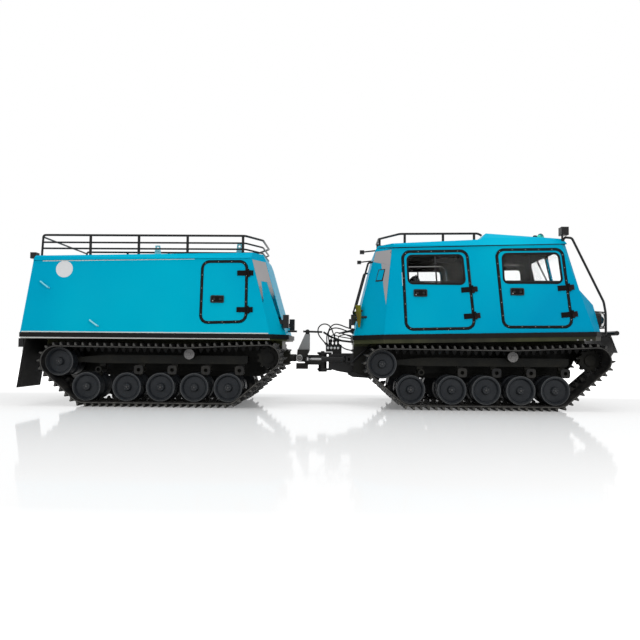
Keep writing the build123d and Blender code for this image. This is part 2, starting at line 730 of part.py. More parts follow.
def front_car():
    """Writes the front car's body, doors, cabin and fittings."""
    skin_wall = front_form(0) - front_form(wall, top_depth=-90.0)
    hatch_x = (2300.0, 3060.0)
    cabin = skin_wall - block(hatch_x[0], hatch_x[1], -tub_half + tub_wall, tub_half - tub_wall, 700, 1100)
    pane_wall = front_form(glass_inset, top_depth=-90.0)
    pane_wall = pane_wall - front_form(glass_inset + glass_thick, top_depth=-90.0)
    doors = {}
    for name, corners, window, handle, hinge_zs in (
            ("front", front_door, front_window, (2360.0, 1405.0), (1142.0, 1461.0)),
            ("crew", crew_door, crew_window, (1215.0, 1382.0), (1116.0, 1432.0))):
        opening = side_prism(corners, -skin_reach, -skin_reach + 400, door_round)
        for cutter in both_sides(opening):
            cabin = cabin - cutter
        panel, glass, leaves = side_door(skin_wall, corners, window, handle, hinge_zs)
        doors[name] = (panel, pane_wall & glass, leaves)
    for _, _, leaves in doors.values():
        for leaf in leaves:
            for side in both_sides(leaf):
                cabin = cabin + side
    bonnet = skin_wall & bonnet_prism(door_gap)
    cabin = cabin - bonnet_prism(0)
    for y in (-bonnet_hinge_y, bonnet_hinge_y):
        lid_side, body_side = hinge(bonnet_hinge_point(y), Vector(0, -1, 0), bonnet_plane().z_dir)
        bonnet = bonnet + lid_side
        cabin = cabin + body_side
    panes = []
    screen_right = cross_prism([(-700, 1478), (-30, 1478), (-30, 1940), (-700, 1940)], 2900, 3200, 45)
    for screen in both_sides(screen_right):
        cabin = cabin - screen
        panes.append(pane_wall & screen)
    save("front_cabin", cabin)
    save("front_bonnet", bonnet)
    save("front_windscreen", *panes)
    for name, (panel, pane, _) in doors.items():
        right, left = both_sides(panel)
        save(f"right_{name}_door", right)
        save(f"left_{name}_door", left)
        right, left = both_sides(pane)
        save(f"right_{name}_door_glass", right)
        save(f"left_{name}_door_glass", left)
    save("front_roof", roof_shell(front_gutter, front_roof_line, front_roof_section, [front_facet]))
    save("front_tub", hull(front_tub_outline, front_plan, front_strip_z, front_sponson_deep, hatch_x))
    save("front_strips", rubbing_strip(front_plan, front_strip_z))
    engine = block(2400, 3000, -200, 200, 480, 1140)
    for x in (2480, 2880):
        engine = engine + block(x, x + 60, -tub_half + tub_wall, tub_half - tub_wall, 500, 560)
    save("engine_block", engine)
    cover_outline = [(2285, cabin_floor(2285)), (3075, cabin_floor(3075)), (3075, 1230), (2285, 1230)]
    cover = side_prism(cover_outline, -285, 285)
    save("engine_cover", cover - block(2300, 3060, -270, 270, 900, 1215))
    seats = []
    for x, y_in, y_out in ((2130.0, 290.0, 740.0), (1100.0, 20.0, 740.0)):
        cushion = block(x + 60, x + 520, -y_out, -y_in, 1130, 1250)
        back_outline = [(x + 90, 1250.3), (x + 190, 1250.3), (x + 110, 1640), (x + 20, 1640)]
        back = side_prism(back_outline, -y_out, -y_in)
        feet = (x + 120, x + 460)
        base_outline = [(x_foot, cabin_floor(x_foot) + rest_gap) for x_foot in feet]
        base = side_prism(base_outline + [(feet[1], 1129.7), (feet[0], 1129.7)], -y_out + 40, -y_in - 40)
        seats += both_sides(cushion + back + base)
    save("front_seats", *seats)
    dashboard = side_prism([(2880, 1240), (2880, 1388), (3050, 1398), (3060, 1240)], -790, 790)
    reach = [(half_width(z) - wall * hypot(1, lean_in) - rest_gap, z) for z in (1260, 1380)]
    dashboard = dashboard + cross_prism(mirrored(reach), 3032, 3056)
    dashboard = dashboard + rod((2900, 470, 1300), (2790, 470, 1370), 22)
    save("dashboard", dashboard)
    tilt = Vector(-110, 0, 70).normalized()
    hub = Vector(2790, 470, 1370) + tilt * rest_gap
    plane = Plane(hub + tilt * 20, z_dir=tilt)
    wheel = Part() + Solid.make_torus(190, 14, plane)
    wheel = wheel + rod(tuple(hub), tuple(hub + tilt * 40), 36)
    for angle in (90, 210, 330):
        direction = plane.x_dir * cos(radians(angle)) + plane.y_dir * sin(radians(angle))
        wheel = wheel + rod(tuple(hub + tilt * 20), tuple(hub + tilt * 20 + direction * 190), 9)
    save("steering_wheel", wheel)


def front_fittings():
    """Writes the front car's outside fittings."""
    rail = [(1992, -620, 2116), (1952, -620, 2140), (990, -620, 2131), (757, -230, 2131), (757, 0, 2131)]
    half = pipe(rail, 12, 40)
    for x, y in ((1051, 620), (1520, 620), (1900, 620), (770, 200)):
        half = half + rod((x, -y, line_height(front_roof_line, x) + 0.8), (x, -y, 2132), 10)
    right, left = both_sides(half)
    save("front_roof_rack", right + left)
    bumper = rod((3635, -600, 930), (3635, 600, 930), 28)
    guard = side_prism([(3545, 915), (3557, 915), (3640, 690), (3628, 690)], -600, 600)
    brackets = [block(3386.5, 3630, side * 345 - 15, side * 345 + 15, 890, 945) for side in (-1, 1)]
    save("front_bumper", bumper + guard + brackets[0] + brackets[1])
    body = front_form(0)
    roof = roof_form(front_gutter, front_roof_line, front_roof_section, [front_facet], 0, 0)
    strip = rubbing_strip(front_plan, front_strip_z)
    lamp = rod((3340, -610, 1085), (3452, -610, 1085), 92) + rod((3452, -610, 1085), (3466, -610, 1085), 78)
    for y in (-570, -650):
        lamp = lamp + pipe([(3350, y, 980), (3486, y, 992), (3486, y, 1178), (3300, y, 1190)], 8, 30)
    save("front_headlamps", *both_sides(seated(lamp, body)))
    tube = pipe([(2930, -735, 2000), (2962, -736, 2078), (3048, -740, 2070), (3418, -745, 1300),
                 (3440, -745, 1170), (3440, -745, 905), (3374, -745, 899)], 11, 24)
    box = block(2905, 2992, -800, -690, 2098, 2196) + rod((2935, -735, 2000), (2935, -735, 2110), 12)
    save("front_mirror_guards", *both_sides(seated(tube + box, roof, body, strip)))
    beacon = rod((2740, -420, 2060), (2740, -420, 2112), 56) + rod((2740, -420, 2112), (2740, -420, 2196), 44)
    save("front_beacon", seated(beacon, roof))
    rail = pipe([(700, -600, 1790), (605, -600, 1772), (452, -600, 1200), (540, -600, 1176)], 12, 30)
    buffer = block(398, 432, -610, -540, 1002, 1132) + block(430, 560, -590, -560, 1050, 1084)
    strap_outline = [(450, 1244), (500, 1244), (520, 1100), (506, 976), (486, 976), (468, 1100)]
    strap = side_prism(strap_outline, -668, -640)
    strap = strap + rod((440, -654, 1100), (640, -654, 1100), 14)
    lever = rod((528, -480, 1922), (760, -480, 1950), 9) + block(505, 560, -505, -455, 1898, 1944)
    corner = seated(rail, body) + seated(buffer, body) + seated(strap, body) + seated(lever, roof, body)
    save("front_rear_fittings", *both_sides(corner))


def steering_joint():
    """Writes the drawbar, the steering knuckle, the roll link, the cylinders and what they carry."""
    box_outline = [(yaw_x + 78, 640), (yaw_x + 78, 454), (240, 420), (397, 394), (439.7, 394), (439.7, 654),
                   (300, 654)]
    box = side_prism(box_outline, -drawbar_half, drawbar_half)
    plate_high = 26
    tongue = Part()
    for z in (yaw_z_low - plate_high, yaw_z_high):
        tongue = tongue + block(yaw_x, yaw_x + 120, -70, 70, z, z + plate_high)
        tongue = tongue + rod((yaw_x, 0, z), (yaw_x, 0, z + plate_high), 70)
    pin_low, pin_top = yaw_z_low - plate_high - 14, yaw_z_high + plate_high + 14
    pin = rod((yaw_x, 0, pin_low), (yaw_x, 0, pin_top), yaw_pin_radius)
    lugs = Part()
    x, y = cylinder_front
    for side in (-1, 1):
        for z in (cylinder_z - eye_thick / 2 - rest_gap - 16, cylinder_z + eye_thick / 2 + rest_gap):
            lugs = lugs + block(x, x + 79.7, side * y - 34, side * y + 34, z, z + 16)
            lugs = lugs + rod((x, side * y, z), (x, side * y, z + 16), 34)
        lugs = lugs + rod((x, side * y, cylinder_z - 45), (x, side * y, cylinder_z + 45), cylinder_pin_radius)
    carrier = block(400, 439.7, -290, 290, 500, 650)
    skid = side_prism([(372, 382), (430, 352), (640, 340), (640, 349.7), (440, 419.7), (400, 398)], -240, 240)
    cap = rod((yaw_x, 0, yaw_z_low - plate_high - 19), (yaw_x, 0, yaw_z_low - plate_high), 57)
    struts = Part()
    for side in (-1, 1):
        y = side * (tub_half + 15)
        struts = struts + rod((645, y, 752), (420, y, 545), 14)
        struts = struts + block(404, 436, min(y, side * 285), max(y, side * 285), 530, 560)
        struts = struts + block(630, 662, min(y, side * 290.3), max(y, side * 290.3), 738, 756)
    drawbar = box + tongue + pin + lugs + carrier + skid + cap + struts
    sweep_room = rod((yaw_x, 0, yaw_z_low), (yaw_x, 0, yaw_z_high), yaw_sleeve_radius + 8)
    kept_pin = rod((yaw_x, 0, yaw_z_low - 1), (yaw_x, 0, yaw_z_high + 1), yaw_pin_radius)
    drawbar = drawbar - (sweep_room - kept_pin)
    save("front_drawbar", drawbar)
    bore = rod((yaw_x, 0, yaw_z_low - 1), (yaw_x, 0, yaw_z_high + 1), yaw_pin_radius + pin_gap)
    sleeve = rod((yaw_x, 0, yaw_z_low + rest_gap), (yaw_x, 0, yaw_z_high - rest_gap), yaw_sleeve_radius)
    arm = block(pitch_x + 70, yaw_x - 20, -58, 58, 500, 630)
    yoke = Part()
    for z in (cylinder_z - eye_thick / 2 - 5 - 16, cylinder_z + eye_thick / 2 + 5):
        yoke = yoke + block(-190, -110, -235, 235, z, z + 16)
    ears = Part()
    for side in (-1, 1):
        ear = block(pitch_x, pitch_x + 90, side * 74 - 14, side * 74 + 14, pitch_z - 50, pitch_z + 50)
        ear = ear + rod((pitch_x, side * 74 - 14, pitch_z), (pitch_x, side * 74 + 14, pitch_z), 50)
        ears = ears + ear
    bridge = block(pitch_x + 70, pitch_x + 100, -88, 88, pitch_z - 50, pitch_z + 50)
    pitch_pin = rod((pitch_x, -100, pitch_z), (pitch_x, 100, pitch_z), pitch_pin_radius)
    sump = block(-303, -150, -75, 75, 444, 520)
    cheeks = Part()
    for y in (-88, 60):
        cheeks = cheeks + side_prism([(-296, 600), (-170, 600), (-130, 690), (-287, 690)], y, y + 28)
    post = side_prism([(-287, 684), (-130, 684), (-130, 903), (-190, 903)], -post_half, post_half)
    recess = [(-262, 716), (-146, 716), (-146, 884), (-186, 884)]
    post = post - side_prism(recess, -post_half - 1, -post_half + 14)
    shelf = block(-287, -130, -88, 88, 684, 698)
    eye = rod((-160, -24, 934), (-160, 24, 934), 30) + block(-186, -134, -24, 24, 895, 934)
    conduit = rod((-218, 0, 937), (34, 0, 931), conduit_radius)
    carried = sump + cheeks + post + shelf + eye + conduit
    save("steering_knuckle", sleeve + arm + yoke + ears + bridge + pitch_pin + carried - bore)
    hub = rod((pitch_x, -60 + rest_gap, pitch_z), (pitch_x, 60 - rest_gap, pitch_z), pitch_ring_radius)
    tube = rod((pitch_x - 44, 0, pitch_z), (-700, 0, pitch_z), roll_tube_radius * 0.8)
    tube = tube + rod((-700, 0, pitch_z), (-690 - rest_gap, 0, pitch_z), roll_tube_radius * 1.1)
    pin_bore = rod((pitch_x, -70, pitch_z), (pitch_x, 70, pitch_z), pitch_pin_radius + pin_gap)
    save("roll_link", hub - pin_bore + (tube - pin_bore))
    valve_block()
    barrel, stem = steering_cylinder()
    for name, shape in (("steering_cylinder", barrel), ("steering_rod", stem)):
        right, left = both_sides(shape)
        save(f"right_{name}", right)
        save(f"left_{name}", left)


def valve_block():
    """Writes the valve block on the drawbar with its ports, spools, rail and conduit, and the hoses."""
    valve = block(84, 290, -84, 56, 672, 766)
    valve = valve + side_prism([(170, 644.2), (290, 653.5), (290, 672), (170, 672)], -84, 56)
    for x in (112, 156, 200, 244):
        valve = valve + rod((x, -112, 722), (x, 78, 722), 15)
    back = front_form(0)
    for route in (hose_long_loop, hose_high_arch, hose_low_arch):
        start = Vector(route[0])
        toward = (Vector(route[1]) - start).normalized()
        valve = valve + gland(start - toward * 32, start)
    tub_end = block(439.7, 700, -400, 400, 400, 770)
    glands = []
    for route in (hose_long_loop, hose_high_arch, hose_low_arch):
        end = Vector(route[-1])
        toward = (end - Vector(route[-2])).normalized()
        glands.append(seated(rod(end, end + toward * 70, hose_radius * 1.9), back, tub_end))
    rail = side_prism([(243, 902), (262, 926), (520, 990), (520, 950)], -70, -58)
    conduit = pipe([(50, 0, 930), (150, 0, 868), (290, 0, 818), (450, 0, 800)], conduit_radius, 60)
    conduit = conduit - block(435.7, 600, -50, 50, 700, 900)
    save("valve_block", valve, *glands, seated(rail, back), conduit)
    save("hose_long_loop", hose(hose_long_loop))
    save("hose_high_arch", hose(hose_high_arch))
    save("hose_low_arch", hose(hose_low_arch))


def along_cylinder(distance):
    """The point of the right-hand steering cylinder's axis at a distance from its front pin."""
    front = Vector(cylinder_front[0], -cylinder_front[1], cylinder_z)
    rear = Vector(cylinder_rear[0], -cylinder_rear[1], cylinder_z)
    return front + (rear - front).normalized() * distance


def steering_cylinder():
    """The right-hand steering cylinder and its rod."""
    total = hypot(cylinder_front[0] - cylinder_rear[0], cylinder_front[1] - cylinder_rear[1])
    half = Vector(0, 0, eye_thick / 2)
    eye = along_cylinder(0)
    barrel = rod(along_cylinder(44), along_cylinder(barrel_long), barrel_radius)
    barrel = barrel + rod(along_cylinder(8), along_cylinder(46), neck_radius)
    barrel = barrel + rod(eye - half, eye + half, eye_radius)
    barrel = barrel - rod(along_cylinder(56), along_cylinder(barrel_long - gland_long), rod_radius + 6)
    barrel = barrel - rod(along_cylinder(56), along_cylinder(barrel_long + 1), rod_radius + pin_gap)
    barrel = barrel - rod(eye - half * 2, eye + half * 2, cylinder_pin_radius + pin_gap)
    stem = rod(along_cylinder(total - rod_long), along_cylinder(total - 24), rod_radius)
    end = along_cylinder(total)
    return barrel, stem + rod(end - half, end + half, eye_radius)


def tail_directions():
    """Up along the rear wall, and out from it."""
    (x0, z0), (x1, z1) = rear_floor[0], rear_gutter[1]
    up = Vector(x1 - x0, 0, z1 - z0).normalized()
    return up, Vector(-up.Z, 0, up.X)


def tail_hinge_point(z):
    """A point on the tail door's hinge line, just past its left edge, beside height z on the wall."""
    up, out = tail_directions()
    x0, z0 = rear_floor[0]
    edge_y = tail_door[1][0] + door_gap / 2
    return Vector(x0, edge_y, z0) + up * ((z - z0) / up.Z) + out * hinge_stand_off


def rear_car():
    """Writes the rear car's body, doors and fittings."""
    skin_wall = rear_form(0) - rear_form(wall, top_depth=-90.0)
    opening = side_prism(cargo_door, -skin_reach, -skin_reach + 400, door_round)
    box = skin_wall
    for cutter in both_sides(opening):
        box = box - cutter
    panel, _, leaves = side_door(skin_wall, cargo_door, None, (-1210.0, 1292.0), (1168.0, 1612.0))
    for leaf in leaves:
        for side in both_sides(leaf):
            box = box + side
    box = box - cross_prism(tail_door, -3700, -3300, door_round)
    tail = skin_wall & cross_prism(inset(tail_door, door_gap), -3700, -3300, door_round - door_gap)
    up, out = tail_directions()
    for z in tail_hinge_zs:
        door_side, body_side = hinge(tail_hinge_point(z), up * -1, out)
        tail = tail + door_side
        box = box + body_side
    handle_at = tail_hinge_point(tail_handle_z) - out * hinge_stand_off
    handle_at = handle_at + Vector(0, tail_handle_y - handle_at.Y, 0)
    tail = tail + paddle_handle(Plane(handle_at, x_dir=(0, 1, 0), z_dir=out))
    save("rear_box", box)
    deck_low = rear_floor[0][1] + wall + rest_gap
    deck_room = block(-3700, -300, -past_sides, past_sides, deck_low, deck_low + deck_thick)
    save("rear_load_floor", rear_form(wall + deck_edge, floor_depth=0) & deck_room)
    right, left = both_sides(panel)
    save("right_cargo_door", right)
    save("left_cargo_door", left)
    save("tail_door", tail)
    save("rear_roof", roof_shell(rear_gutter, rear_roof_line, rear_roof_section, [rear_facet]))
    tub = hull(rear_tub_outline, rear_plan, rear_strip_z, rear_sponson_deep)
    housing = block(-690, -468, -110, 110, 480, 700)
    housing = housing + rod((-480, 0, pitch_z), (-385, 0, pitch_z), 88)
    housing = housing - rod((-800, 0, pitch_z), (-300, 0, pitch_z), roll_tube_radius * 0.8 + pin_gap)
    clevis = Part()
    for z in (tow_z - tow_gap / 2 - tow_plate, tow_z + tow_gap / 2):
        ear = block(tow_x, -3539, -50, 50, z, z + tow_plate)
        ear = ear + rod((tow_x, 0, z), (tow_x, 0, z + tow_plate), 50)
        clevis = clevis + (ear - rod((tow_x, 0, z - 1), (tow_x, 0, z + tow_plate + 1), tow_bore))
    save("rear_tub", tub - block(-690, -440, -110, 110, 480, 700) + housing + clevis)
    save("rear_strips", rubbing_strip(rear_plan, rear_strip_z))
    half = Part()
    for z, radius in ((2080, 12), (1990, 9), (1915, 9)):
        loop = [(-3440, 0), (-3440, -640), (-3380, -720), (-905, -720), (-722, -370), (-722, 0)]
        half = half + pipe([(x, y, z) for x, y in loop], radius, 45)
    for x in (-3300, -2807, -2210, -1610, -930):
        half = half + rod((x, -720, line_height(rear_roof_line, x) + 0.5), (x, -720, 2081), 10)
    half = half + rod((-3425, -720, 2066), (-2840, -720, 1915), 7)
    right, left = both_sides(half)
    save("rear_roof_rack", right + left)
    flap = side_prism([(-3495, 804.7), (-3483, 804.7), (-3567, 217), (-3579, 217)], -925, -310)
    save("rear_mud_flaps", *both_sides(flap))
    body = rear_form(0)
    roof = roof_form(rear_gutter, rear_roof_line, rear_roof_section, [rear_facet], 0, 0)
    work_lamp = block(-3563, -3491, -700, -600, 1792, 1868) + block(-3500, -3380, -665, -635, 1805, 1835)
    buffer = block(-438, -368, -640, -545, 960, 1122) + block(-500, -436, -615, -570, 1010, 1060)
    tail_lamp = block(-3600, -3540, -860, -760, 700, 804.7)
    lamps = both_sides(tail_lamp) + both_sides(seated(work_lamp, body, roof))
    stub = seated(rod((-460, 0, 937), (-300, 0, 937), conduit_radius), body)
    save("rear_lamps", *lamps, *both_sides(seated(buffer, body)), stub)
    grabs = Part()
    for (x0, z0), (x1, z1) in (((-3349, 1488), (-3252, 1416)), ((-2725, 1024), (-2630, 957))):
        grip = ((x0, z0, -40), (x0, z0, 34), (x1, z1, 34), (x1, z1, -40))
        ends = [skin_point(x, z, reach) for x, z, reach in grip]
        grabs = grabs + seated(pipe([tuple(end) for end in ends], 9, 12), body)
    eyes = []
    y_low = -lift_eye_y - lift_eye_plate / 2
    y_high = y_low + lift_eye_plate
    half = lift_eye_bore + 14
    for x in eye_x_places:
        z = line_height(rear_roof_line, x) + lift_eye_rise
        plate = side_prism([(x - half - 12, line_height(rear_roof_line, x - half - 12)),
                            (x + half + 12, line_height(rear_roof_line, x + half + 12)),
                            (x + half, z + half), (x - half, z + half)], y_low, y_high)
        eyes.append(plate - rod((x, y_low - 1, z), (x, y_high + 1, z), lift_eye_bore))
    save("rear_fittings", *[side for piece in eyes + [grabs] for side in both_sides(piece)])


os.makedirs("parts", exist_ok=True)
front_car()
front_fittings()
running_gear("front", 0.0)
steering_joint()
rear_car()
running_gear("rear", -car_spacing)
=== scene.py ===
# %% [markdown]
# # A two-car tracked carrier, dressed for a studio picture
#
# The imported model gives every rigid piece its true place. This notebook adds what a picture needs: paint
# with depth, rubber with dust in patches and low down, gaskets round the doors, real track shoes, padded
# seats and hoses. Every length is in metres and every piece is made where it belongs on the vehicle, so
# nothing is moved later.

# %% Load the imported model
import json
from math import atan2, cos, hypot, pi, radians, sin

import bpy
import numpy as np
from mathutils import Matrix, Vector

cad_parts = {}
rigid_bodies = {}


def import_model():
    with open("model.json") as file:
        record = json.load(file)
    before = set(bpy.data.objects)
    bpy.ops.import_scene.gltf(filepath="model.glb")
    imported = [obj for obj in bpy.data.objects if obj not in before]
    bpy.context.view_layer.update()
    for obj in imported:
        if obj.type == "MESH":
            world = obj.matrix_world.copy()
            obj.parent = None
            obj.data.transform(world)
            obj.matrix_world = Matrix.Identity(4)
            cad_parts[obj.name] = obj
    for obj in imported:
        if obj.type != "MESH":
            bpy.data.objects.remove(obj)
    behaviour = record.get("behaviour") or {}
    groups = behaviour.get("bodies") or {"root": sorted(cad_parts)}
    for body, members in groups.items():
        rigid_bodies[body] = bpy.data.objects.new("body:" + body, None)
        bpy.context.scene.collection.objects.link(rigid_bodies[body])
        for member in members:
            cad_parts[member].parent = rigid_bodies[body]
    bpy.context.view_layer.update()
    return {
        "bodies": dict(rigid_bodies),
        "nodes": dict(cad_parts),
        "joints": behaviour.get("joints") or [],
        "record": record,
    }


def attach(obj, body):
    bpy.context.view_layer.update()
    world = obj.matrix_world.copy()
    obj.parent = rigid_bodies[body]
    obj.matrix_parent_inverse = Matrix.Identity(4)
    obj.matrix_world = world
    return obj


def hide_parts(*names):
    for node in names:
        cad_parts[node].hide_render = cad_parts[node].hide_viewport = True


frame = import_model()
nodes = frame["nodes"]
scene = bpy.context.scene

# %% [markdown]
# ## Camera
#
# A photograph fixes the camera by its place, three angles and a focal length. The values below were solved
# from the even pitch of the track's cleats and the spacing of the wheels in the picture. The camera's three
# axes are worked out from the angles and written as the columns of a matrix: that is easier to check than a
# chain of rotations.

# %% Place the camera
camera_place = Vector((0.200, -8.673, 0.696))
camera_yaw, camera_pitch, camera_roll = radians(-1.303), radians(2.601), radians(0.502)
focal_pixels, picture_pixels, sensor_width = 656.84, 640.0, 36.0

straight_up = Vector((0, 0, 1))
level_ahead = Vector((sin(camera_yaw), cos(camera_yaw), 0.0))
level_right = Vector((cos(camera_yaw), -sin(camera_yaw), 0.0))
view_ahead = level_ahead * cos(camera_pitch) + straight_up * sin(camera_pitch)
level_up = -level_ahead * sin(camera_pitch) + straight_up * cos(camera_pitch)
camera_right = level_right * cos(camera_roll) + level_up * sin(camera_roll)
camera_up = level_up * cos(camera_roll) - level_right * sin(camera_roll)

camera_data = bpy.data.cameras.new("studio_camera")
camera_data.lens = focal_pixels / picture_pixels * sensor_width
camera_data.sensor_width = sensor_width
camera_data.clip_end = 400.0
camera = bpy.data.objects.new("studio_camera", camera_data)
camera.matrix_world = Matrix((
    *zip(camera_right, camera_up, -view_ahead, camera_place),
    (0, 0, 0, 1)))
scene.collection.objects.link(camera)
scene.camera = camera
scene.view_settings.view_transform = "Standard"
print("lens", round(camera_data.lens, 2), "mm")

# %% [markdown]
# ## Helpers for node trees
#
# A finish is a small graph. These functions keep the graphs short: each adds one node, fills its sockets and
# returns its output. A socket may be given a plain value or another node's output.


# %% Node helpers
def fill(tree, socket, value):
    """Joins another node's output to a socket, or writes a plain value into it."""
    if isinstance(value, bpy.types.NodeSocket):
        tree.links.new(value, socket)
    else:
        socket.default_value = value


def add_node(tree, kind, inputs=None, **settings):
    """Adds a node of a kind, applies its settings and fills or joins the named inputs."""
    node = tree.nodes.new(kind)
    for name, value in settings.items():
        setattr(node, name, value)
    for name, value in (inputs or {}).items():
        fill(tree, node.inputs[name], value)
    return node


def mix_colour(tree, share, first, second):
    """The colour first turned into second by share; returns the output socket."""
    return add_node(tree, "ShaderNodeMix", {0: share, 6: first, 7: second}, data_type="RGBA").outputs[2]


def calculate(tree, operation, first, second=0.0, clamp=False):
    """One Math node; returns its output socket."""
    node = add_node(tree, "ShaderNodeMath", {0: first, 1: second}, operation=operation, use_clamp=clamp)
    return node.outputs[0]


def spread(tree, value, low, high, new_low=0.0, new_high=1.0):
    """The range low to high of a value stretched to a new one, and held there."""
    node = add_node(tree, "ShaderNodeMapRange", {"Value": value, "From Min": low, "From Max": high,
                                                 "To Min": new_low, "To Max": new_high})
    return node.outputs["Result"]


def own_place(tree):
    """The surface's place in its piece's own coordinates, in metres."""
    return add_node(tree, "ShaderNodeTexCoord").outputs["Object"]


def noise(tree, place, scale, detail, roughness=0.5):
    """Soft noise over a place; a larger scale makes smaller patches."""
    return add_node(tree, "ShaderNodeTexNoise", {"Vector": place, "Scale": scale, "Detail": detail,
                                                 "Roughness": roughness}).outputs["Fac"]


def vector_maths(tree, operation, first, *others):
    """One Vector Math node; returns its number where the operation gives one, or else its vector."""
    node = add_node(tree, "ShaderNodeVectorMath", dict(enumerate((first, *others))), operation=operation)
    return node.outputs["Value" if operation in ("DOT_PRODUCT", "LENGTH") else "Vector"]


def seen_directly(tree):
    """1 for the rays that a camera, a mirror or a window sends, and 0 for those that carry light."""
    rays = add_node(tree, "ShaderNodeLightPath").outputs
    mirrored_or_through = calculate(tree, "MAXIMUM", rays["Is Glossy Ray"], rays["Is Transmission Ray"])
    return calculate(tree, "MAXIMUM", rays["Is Camera Ray"], mirrored_or_through)


def colour(red, green, blue):
    """An opaque colour from linear parts."""
    return (red, green, blue, 1.0)


# %% [markdown]
# ## Effects shared by many finishes
#
# Paint, rubber and cast metal differ in colour, but they get dirty in the same way: dust gathers in broad
# patches and low down, and the surface is never quite flat. Two node groups hold those effects, so that
# each finish only states how much of each it has. They read Object coordinates, which are the vehicle's own
# metres.

# %% Group: settled dust
def new_group(name, inputs, outputs):
    """An empty node group with float, colour or vector sockets; inputs are (name, kind, value)."""
    tree = bpy.data.node_groups.new(name, "ShaderNodeTree")
    for title, kind, value in inputs:
        tree.interface.new_socket(title, in_out="INPUT", socket_type=kind).default_value = value
    for title, kind in outputs:
        tree.interface.new_socket(title, in_out="OUTPUT", socket_type=kind)
    return tree, tree.nodes.new("NodeGroupInput"), tree.nodes.new("NodeGroupOutput")


FLOAT, COLOUR, VECTOR = "NodeSocketFloat", "NodeSocketColor", "NodeSocketVector"

dust_group, source, sink = new_group(
    "Settled dust",
    [("Colour", COLOUR, colour(0.1, 0.1, 0.1)), ("Dust Colour", COLOUR, colour(0.3, 0.27, 0.22)),
     ("Amount", FLOAT, 0.3), ("Patch Size", FLOAT, 6.0), ("High Height", FLOAT, 0.9)],
    [("Colour", COLOUR), ("Mask", FLOAT)])
place = own_place(dust_group)
patches = spread(dust_group, noise(dust_group, place, source.outputs["Patch Size"], 6.0, 0.62), 0.42, 0.68)
height = add_node(dust_group, "ShaderNodeSeparateXYZ", {0: place}).outputs["Z"]
lowness = spread(dust_group, height, 0.0, source.outputs["High Height"], 1.0, 0.25)
mask = calculate(dust_group, "MULTIPLY", calculate(dust_group, "MULTIPLY", patches, lowness),
                 source.outputs["Amount"], clamp=True)
fill(dust_group, sink.inputs["Colour"],
     mix_colour(dust_group, mask, source.outputs["Colour"], source.outputs["Dust Colour"]))
fill(dust_group, sink.inputs["Mask"], mask)
print("group", dust_group.name)

# %% Group: uneven surface
uneven_group, source, sink = new_group(
    "Uneven surface",
    [("Broad Size", FLOAT, 2.0), ("Broad Depth", FLOAT, 0.3), ("Fine Size", FLOAT, 200.0),
     ("Fine Depth", FLOAT, 0.1)], [("Height", FLOAT)])
place = own_place(uneven_group)
waves = [calculate(uneven_group, "MULTIPLY", noise(uneven_group, place, source.outputs[f"{kind} Size"],
                                                   detail), source.outputs[f"{kind} Depth"]) for kind,
         detail in (("Broad", 1.0), ("Fine", 3.0))]
fill(uneven_group, sink.inputs["Height"], calculate(uneven_group, "ADD", *waves))
print("group", uneven_group.name)

# %% [markdown]
# The cabin and the load box are shells of one sheet, painted outside and lined inside in a very dark grey:
# the lining's own grey deepened into a painted shade of the closed body's inside. They are convex, so the two
# faces
# tell themselves apart: on the outside the surface looks away from the middle of the body, and inside it
# looks towards it. The sign of the dot product of the normal with the way from the middle is the mask, and it
# still holds when a door swings, because both are read in the piece's own coordinates.

# %% Group: lining
shaded_lining_group, source, sink = new_group("Inside lining", [("Middle", VECTOR, (0, 0, 0))], [("Mask", FLOAT)])
spot = add_node(shaded_lining_group, "ShaderNodeTexCoord")
away = vector_maths(shaded_lining_group, "SUBTRACT", spot.outputs["Object"], source.outputs["Middle"])
facing = vector_maths(shaded_lining_group, "DOT_PRODUCT", away, spot.outputs["Normal"])
fill(shaded_lining_group, sink.inputs["Mask"], calculate(shaded_lining_group, "LESS_THAN", facing, -0.05))
print("group", shaded_lining_group.name)

# %% [markdown]
# Handles and hinges are part of a door's own solid, but they are bare black metal on turquoise paint. They
# are also the only things that stand proud of the wall, and the wall is a plane, so the plane tells them
# apart: where weights . |place| is past the wall's own value, the surface belongs to a fitting.
#
# Sprayed enamel is never one even colour either. A slow drift between two tones, about a metre long, does
# what the light of a real studio does on slightly wavy sheet.
#
# The black coating low on the hulls is masked in the same way, with a level plane in place of the wall's.

# %% Groups: proud fittings, drifting tone
fitting_group, source, sink = new_group(
    "Proud fittings", [("Weights", VECTOR, (0, 1, 0)), ("Limit", FLOAT, 1.0)], [("Mask", FLOAT)])
size = vector_maths(fitting_group, "ABSOLUTE", own_place(fitting_group))
past = vector_maths(fitting_group, "DOT_PRODUCT", size, source.outputs["Weights"])
fill(fitting_group, sink.inputs["Mask"],
     calculate(fitting_group, "GREATER_THAN", past, source.outputs["Limit"]))

drift_group, source, sink = new_group(
    "Drifting tone",
    [("First", COLOUR, colour(1, 1, 1)), ("Second", COLOUR, colour(0, 0, 0)), ("Size", FLOAT, 0.5),
     ("Stretch", VECTOR, (1, 1, 1))], [("Colour", COLOUR)])
stretched = vector_maths(drift_group, "MULTIPLY", own_place(drift_group), source.outputs["Stretch"])
drift = spread(drift_group, noise(drift_group, stretched, source.outputs["Size"], 2.0, 0.4), 0.36, 0.64)
fill(drift_group, sink.inputs["Colour"],
     mix_colour(drift_group, drift, source.outputs["First"], source.outputs["Second"]))
print("groups", fitting_group.name, "and", drift_group.name)

# %% [markdown]
# ## Finishes
#
# Each finish is a Principled shader. The base function lays dust over a colour and a bump under it; the
# finish states its own numbers for gloss and metal.


# %% Finish helper
def group_node(tree, group, **values):
    """A placed node group with its inputs filled; underscores in the names stand for spaces."""
    inputs = {name.replace("_", " "): value for name, value in values.items()}
    return add_node(tree, "ShaderNodeGroup", inputs, node_tree=group)


